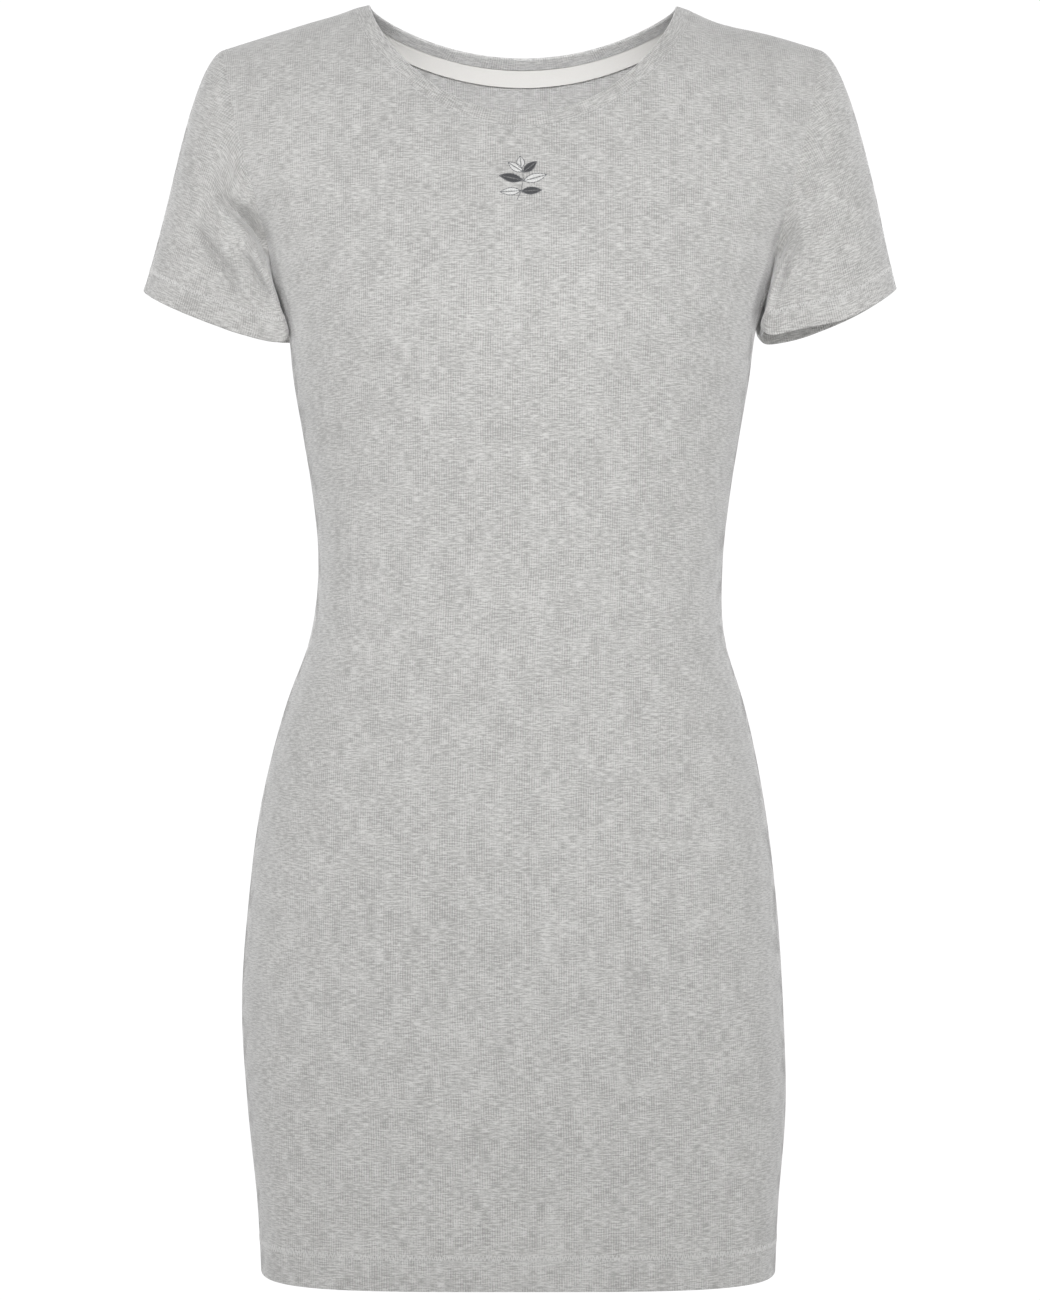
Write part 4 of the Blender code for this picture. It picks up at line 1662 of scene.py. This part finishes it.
@dataclass
class Stitching:
    """Stitches of one thread, gathered into one mesh."""

    name: str
    material: bpy.types.Material
    frames: list[Array] = field(default_factory=list)

    def add(self, starts: Array, ends: Array, normals: Array, width: float, lift: float) -> None:
        """Lay stitches.

        Args:
            starts: Where the thread comes up, a row for each stitch.
            ends: Where it goes down.
            normals: Which way the cloth faces.
            width: The thread's width along the cloth.
            lift: The thread's height off the cloth.
        """
        run = ends - starts
        across = unit(np.cross(normals, run))
        up = unit(np.cross(run, across))
        middle = (starts + ends) / 2
        self.frames.append(np.stack([run, across * width, up * lift, middle], axis=1))

    def row(
        self, points: Array, normals: Array, pitch: float, fill: float, width: float, lift: float
    ) -> None:
        """Lay a straight row of stitches along a line.

        Args:
            points: The line.
            normals: Which way the cloth faces along it.
            pitch: From one stitch to the next.
            fill: How much of the pitch the thread shows.
            width: The thread's width.
            lift: The thread's height off the cloth.
        """
        along = arc_lengths(points)
        step = along[-1] / int(along[-1] / pitch)
        starts = np.arange(0, along[-1] - step / 2, step)
        self.add(
            at_lengths(points, along, starts),
            at_lengths(points, along, starts + fill * step),
            unit(at_lengths(normals, along, starts)),
            width,
            lift,
        )

    def zigzag(
        self, low: Array, high: Array, normals: Array, pitch: float, width: float, lift: float
    ) -> None:
        """Lay slanting stitches to and fro between two lines.

        Args:
            low: The first line.
            high: The second line, with as many points.
            normals: Which way the cloth faces along them.
            pitch: From one turn to the next on the same line.
            width: The thread's width.
            lift: The thread's height off the cloth.
        """
        along = arc_lengths(low)
        step = along[-1] / int(along[-1] / pitch)
        places = np.arange(0, along[-1] - step, step)
        bottom = at_lengths(low, along, places)
        top = at_lengths(high, along, places + step / 2)
        facing = unit(at_lengths(normals, along, places + step / 4))
        gap = (top - bottom) * 0.07
        self.add(bottom + gap, top - gap, facing, width, lift)
        after = at_lengths(low, along, places + step)
        gap = (after - top) * 0.07
        self.add(top + gap, after - gap, facing, width, lift)

    def build(self) -> bpy.types.Object:
        """Make the stitches as one mesh.

        Returns:
            The mesh, in its place.
        """
        frames = np.concatenate(self.frames)
        shape = bmesh.new()
        bmesh.ops.create_uvsphere(shape, u_segments=6, v_segments=4, radius=0.5)
        bmesh.ops.rotate(shape, verts=shape.verts, matrix=Matrix.Rotation(pi / 2, 3, "Y"))
        corners = np.array([vertex.co for vertex in shape.verts])
        piece = add_mesh(self.name, shape, [self.material])
        copies = piece.modifiers.new("copies", "ARRAY")
        copies.count = len(frames)
        copies.relative_offset_displace = (0.0, 0.0, 2.0)
        apply_modifiers(piece)
        places = np.einsum("kj,nji->nki", corners, frames[:, :3]) + frames[:, 3:]
        piece.data.vertices.foreach_set("co", places.ravel())
        piece.data.shade_smooth()
        return piece


@dataclass(frozen=True)
class Leaf:
    """One embroidered leaf: its foot, direction, length and width in the sprig's own frame."""

    foot: tuple[float, float]
    angle: float
    length: float
    width: float
    tone: int


@dataclass(frozen=True)
class Sprig:
    """A small embroidered sprig of leaves on the chest."""

    centre: tuple[float, float] = (0.0012, 0.6770)
    stem: tuple[tuple[float, float], ...] = (
        (-0.0030, -0.0138),
        (-0.0006, -0.0080),
        (0.0008, -0.0010),
        (0.0006, 0.0050),
        (-0.0004, 0.0072),
    )
    leaves: tuple[Leaf, ...] = (
        Leaf((-0.0004, 0.0066), 96.0, 0.0080, 0.0046, 1),
        Leaf((0.0006, 0.0040), 40.0, 0.0110, 0.0048, 0),
        Leaf((0.0004, 0.0044), 146.0, 0.0108, 0.0048, 1),
        Leaf((0.0008, -0.0016), 16.0, 0.0150, 0.0054, 1),
        Leaf((0.0006, -0.0010), 168.0, 0.0148, 0.0054, 0),
        Leaf((-0.0006, -0.0082), 4.0, 0.0128, 0.0046, 0),
        Leaf((-0.0008, -0.0078), 184.0, 0.0126, 0.0046, 1),
    )
    threads: tuple[tuple[str, tuple[float, float, float, float]], ...] = (
        ("dark_thread", (0.085, 0.087, 0.093, 1.0)),
        ("pale_thread", (0.88, 0.88, 0.87, 1.0)),
        ("mid_thread", (0.21, 0.215, 0.225, 1.0)),
    )
    pitch: float = 0.42 * MM
    thread: float = 0.50 * MM
    lift: float = 0.42 * MM

    def fan(self, leaf: Leaf) -> tuple[Array, Array]:
        """Slanting stitches that fill a leaf, out from its midrib on both sides.

        Args:
            leaf: The leaf.
        Returns:
            Starts and ends of the stitches, in the sprig's own frame.
        """
        turn = radians(leaf.angle)
        along = np.array([cos(turn), sin(turn)])
        across = np.array([-sin(turn), cos(turn)])
        share = np.arange(self.pitch, leaf.length, self.pitch) / leaf.length
        half = leaf.width / 2 * np.sin(pi * share**0.8) ** 0.8 + 0.15 * MM
        rib = np.array(leaf.foot) + share[:, None] * leaf.length * along
        slant = (share + 0.12 * (1 - share))[:, None] * leaf.length
        starts, ends = [], []
        for side in (-1.0, 1.0):
            rim = np.array(leaf.foot) + slant * along + side * half[:, None] * across
            starts.append(rib)
            ends.append(rim)
        return np.concatenate(starts), np.concatenate(ends)

    def run(self) -> tuple[Array, Array]:
        """Stitches of the stem and of each leaf's midrib and outline.

        Returns:
            Starts and ends of the stitches, in the sprig's own frame.
        """
        stem = np.array(self.stem)
        along = arc_lengths(stem)
        places = np.linspace(0, along[-1], 12)
        line = at_lengths(stem, along, places)
        starts, ends = [line[:-1]], [line[1:]]
        for leaf in self.leaves:
            turn = radians(leaf.angle)
            frame = np.array([[cos(turn), sin(turn)], [-sin(turn), cos(turn)]])
            share = np.linspace(0, 1, 9)
            half = (leaf.width / 2 + 0.1 * MM) * np.sin(pi * share**0.9)
            for side in (-1.0, 0.0, 1.0):
                flat = np.stack([share * leaf.length, side * half], axis=-1)
                line = np.array(leaf.foot) + flat @ frame
                starts.append(line[:-1])
                ends.append(line[1:])
        return np.concatenate(starts), np.concatenate(ends)

    def embroider(self, cloth: bpy.types.Object, length: float) -> list[bpy.types.Object]:
        """Lay the sprig's stitches on the front of the dress.

        Args:
            cloth: The front panel.
            length: Height of the shoulders over the hem.
        Returns:
            One mesh for each thread.
        """
        tree = BVHTree.FromObject(cloth, bpy.context.evaluated_depsgraph_get())

        def on_cloth(flat: Array, off: float) -> tuple[Array, Array]:
            """Find the cloth behind places of the sprig, and which way it faces.

            Args:
                flat: Places in the sprig's own frame.
                off: How far off the cloth to stay.
            Returns:
                The points and normals of the cloth.
            """
            points, normals = [], []
            for x, height in flat + np.array(self.centre):
                start = Vector((x, -0.3, height - length))
                place, normal, _, _ = tree.ray_cast(start, Vector((0, 1, 0)))
                points.append(place + normal * off)
                normals.append(normal)
            return np.array(points), np.array(normals)

        threads = [
            Stitching("sprig_" + name, Thread(name, colour).make()) for name, colour in self.threads
        ]
        for leaf in self.leaves:
            starts, ends = self.fan(leaf)
            first, normals = on_cloth(starts, 0.10 * MM)
            last, _ = on_cloth(ends, 0.0)
            threads[leaf.tone].add(first, last, normals, self.thread, self.lift)
        starts, ends = self.run()
        first, normals = on_cloth(starts, 0.25 * MM)
        last, _ = on_cloth(ends, 0.25 * MM)
        threads[2].add(first, last, normals, self.thread, self.lift)
        return [thread.build() for thread in threads]


@dataclass(frozen=True)
class CutSize:
    """What a sheet's flat cut is stated as: its node, slot, width and length, and area."""

    node: str
    slot: str
    flat: tuple[float, float]
    area: float


CUTS = (
    CutSize("front", "rib_jersey", (0.560, 0.860), 0.331),
    CutSize("back", "rib_jersey", (0.560, 0.860), 0.337),
    CutSize("sleeve_left", "rib_jersey", (0.300, 0.190), 0.0365),
    CutSize("sleeve_right", "rib_jersey", (0.300, 0.190), 0.0365),
    CutSize("neckband", "neckband_rib", (0.620, 0.022), 0.0125),
    CutSize("neck_tape", "tape_twill", (0.290, 0.012), 0.0034),
)


@dataclass(frozen=True)
class Lamp:
    """A soft lamp: its place, what it faces, its size, power in watts and spread."""

    name: str
    place: tuple[float, float, float]
    target: tuple[float, float, float]
    size: tuple[float, float]
    power: float
    spread: float = radians(90)


@dataclass
class Studio:
    """A plain pale floor, soft light and the camera in front."""

    floor_height: float = -1.40
    floor_radius: float = 2.4
    camera_distance: float = 2.0
    camera_height: float = -0.411
    lens: float = 86.54
    sensor: float = 36.0
    daylight: float = 0.34
    backdrop: float = 1.05
    lamps: tuple[Lamp, ...] = (
        Lamp("front_lamp", (0.0, -3.0, -0.1), (0.0, 0.0, 0.05), (1.4, 1.4), 8.0),
        Lamp("high_lamp", (0.0, -2.3, 0.9), (0.0, 0.0, -0.1), (1.0, 0.6), 1.7, radians(50)),
        Lamp("low_lamp", (0.0, -2.6, -1.1), (0.0, 0.0, -0.25), (1.2, 0.6), 0.7, radians(50)),
        Lamp("left_lamp", (-2.4, -0.65, -0.8), (0.0, 0.0, -0.4), (1.0, 1.0), 3.3),
        Lamp("right_lamp", (2.4, -0.65, -0.8), (0.0, 0.0, -0.4), (1.0, 1.0), 3.3),
    )
    neck_lamp: Lamp = Lamp(
        "neck_lamp", (0.0, -2.3, 0.9), (0.0, 0.08, -0.03), (0.6, 0.4), 2.35, radians(50)
    )

    def camera(self) -> None:
        """Stand the camera level in front of the dress."""
        data = bpy.data.cameras.new("camera")
        data.sensor_width = self.sensor
        data.sensor_fit = "AUTO"
        data.lens = self.lens
        camera = add_object("camera", data)
        camera.location = (0.0, -self.camera_distance, self.camera_height)
        camera.rotation_euler = (radians(90), 0.0, 0.0)
        bpy.context.scene.camera = camera

    def floor(self) -> None:
        """Lay the floor."""
        shape = bmesh.new()
        bmesh.ops.create_circle(
            shape,
            cap_ends=True,
            segments=96,
            radius=self.floor_radius,
            matrix=Matrix.Translation((0.0, 0.0, self.floor_height)),
        )
        floor = add_mesh("floor", shape, [PaleFloor().make()])
        floor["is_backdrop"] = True

    def world(self) -> None:
        """Surround the dress with white, dimmer as light than as background."""
        world = bpy.data.worlds.new("studio")
        bpy.context.scene.world = world
        world.use_nodes = True
        tree = world.node_tree
        light = tree.nodes["Background"]
        light.inputs["Color"].default_value = (1.0, 1.0, 1.0, 1.0)
        light.inputs["Strength"].default_value = self.daylight
        seen = tree.nodes.new("ShaderNodeBackground")
        seen.inputs["Color"].default_value = (1.0, 1.0, 1.0, 1.0)
        seen.inputs["Strength"].default_value = self.backdrop
        path = tree.nodes.new("ShaderNodeLightPath")
        choose = tree.nodes.new("ShaderNodeMixShader")
        tree.links.new(path.outputs["Is Camera Ray"], choose.inputs[0])
        tree.links.new(light.outputs[0], choose.inputs[1])
        tree.links.new(seen.outputs[0], choose.inputs[2])
        tree.links.new(choose.outputs[0], tree.nodes["World Output"].inputs["Surface"])

    def lamp(self, lamp: Lamp) -> bpy.types.Object:
        """Hang one soft lamp, facing its target.

        Args:
            lamp: The lamp.
        Returns:
            Its object.
        """
        data = bpy.data.lights.new(lamp.name, "AREA")
        data.shape = "RECTANGLE"
        data.size, data.size_y = lamp.size
        data.energy = lamp.power
        data.spread = lamp.spread
        hung = add_object(lamp.name, data)
        hung.location = lamp.place
        way = Vector(lamp.target) - Vector(lamp.place)
        hung.rotation_euler = way.to_track_quat("-Z", "Y").to_euler()
        return hung

    def build(self, inside: Sequence[bpy.types.Object]) -> None:
        """Set the studio up, with one lamp only for the pieces seen inside the neck.

        Args:
            inside: The pieces that the lamp in the neck lights.
        """
        self.camera()
        self.floor()
        self.world()
        for lamp in self.lamps:
            self.lamp(lamp)
        lit = bpy.data.collections.new("inside_neck")
        for piece in inside:
            lit.objects.link(piece)
        self.lamp(self.neck_lamp).light_linking.receiver_collection = lit
        bpy.context.scene.view_settings.view_transform = "Standard"


def declare(piece: bpy.types.Object, cut: CutSize, sewing: Sequence[bpy.types.Object]) -> None:
    """Put a piece of cloth and the stitches sewn on it on the root body, and hide the solid whose
    place it takes.

    Args:
        piece: The cloth.
        cut: What its flat cut is stated as.
        sewing: The stitches on it.
    """
    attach(piece, "root")
    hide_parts(cut.node)
    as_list(sewing)
    for stitches in sewing:
        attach(stitches, "root")


def main() -> None:
    """Build the dress and its studio."""
    logging.basicConfig(level=logging.INFO, format="%(message)s")
    form = DressForm()
    maker = Dressmaker(form)
    maker.cut()
    maker.sew()
    pieces = maker.build()
    pieces["neck_tape"] = NeckTape(form).build(WovenTape().make())
    sewing = {name: [piece] for name, piece in maker.stitch(Thread().make()).items()}
    sewing["front"] += Sprig().embroider(pieces["front"], form.length)
    for cut in CUTS:
        piece = pieces[cut.node]
        declare(piece, cut, sewing.get(cut.node, []))
        faces = sum(len(face.vertices) - 2 for face in piece.data.polygons)
        area = sum(face.area for face in piece.data.polygons) / 2
        LOG.info("%s: %d triangles, %.4f square metres", piece.name, faces, area)
    Studio().build([pieces["back"], pieces["neck_tape"]])
    boxes = {"cad": CAD_BOX, "visual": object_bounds()}
    corners = {name: [list(map(float, corner)) for corner in box] for name, box in boxes.items()}


if __name__ == "__main__":
    main()
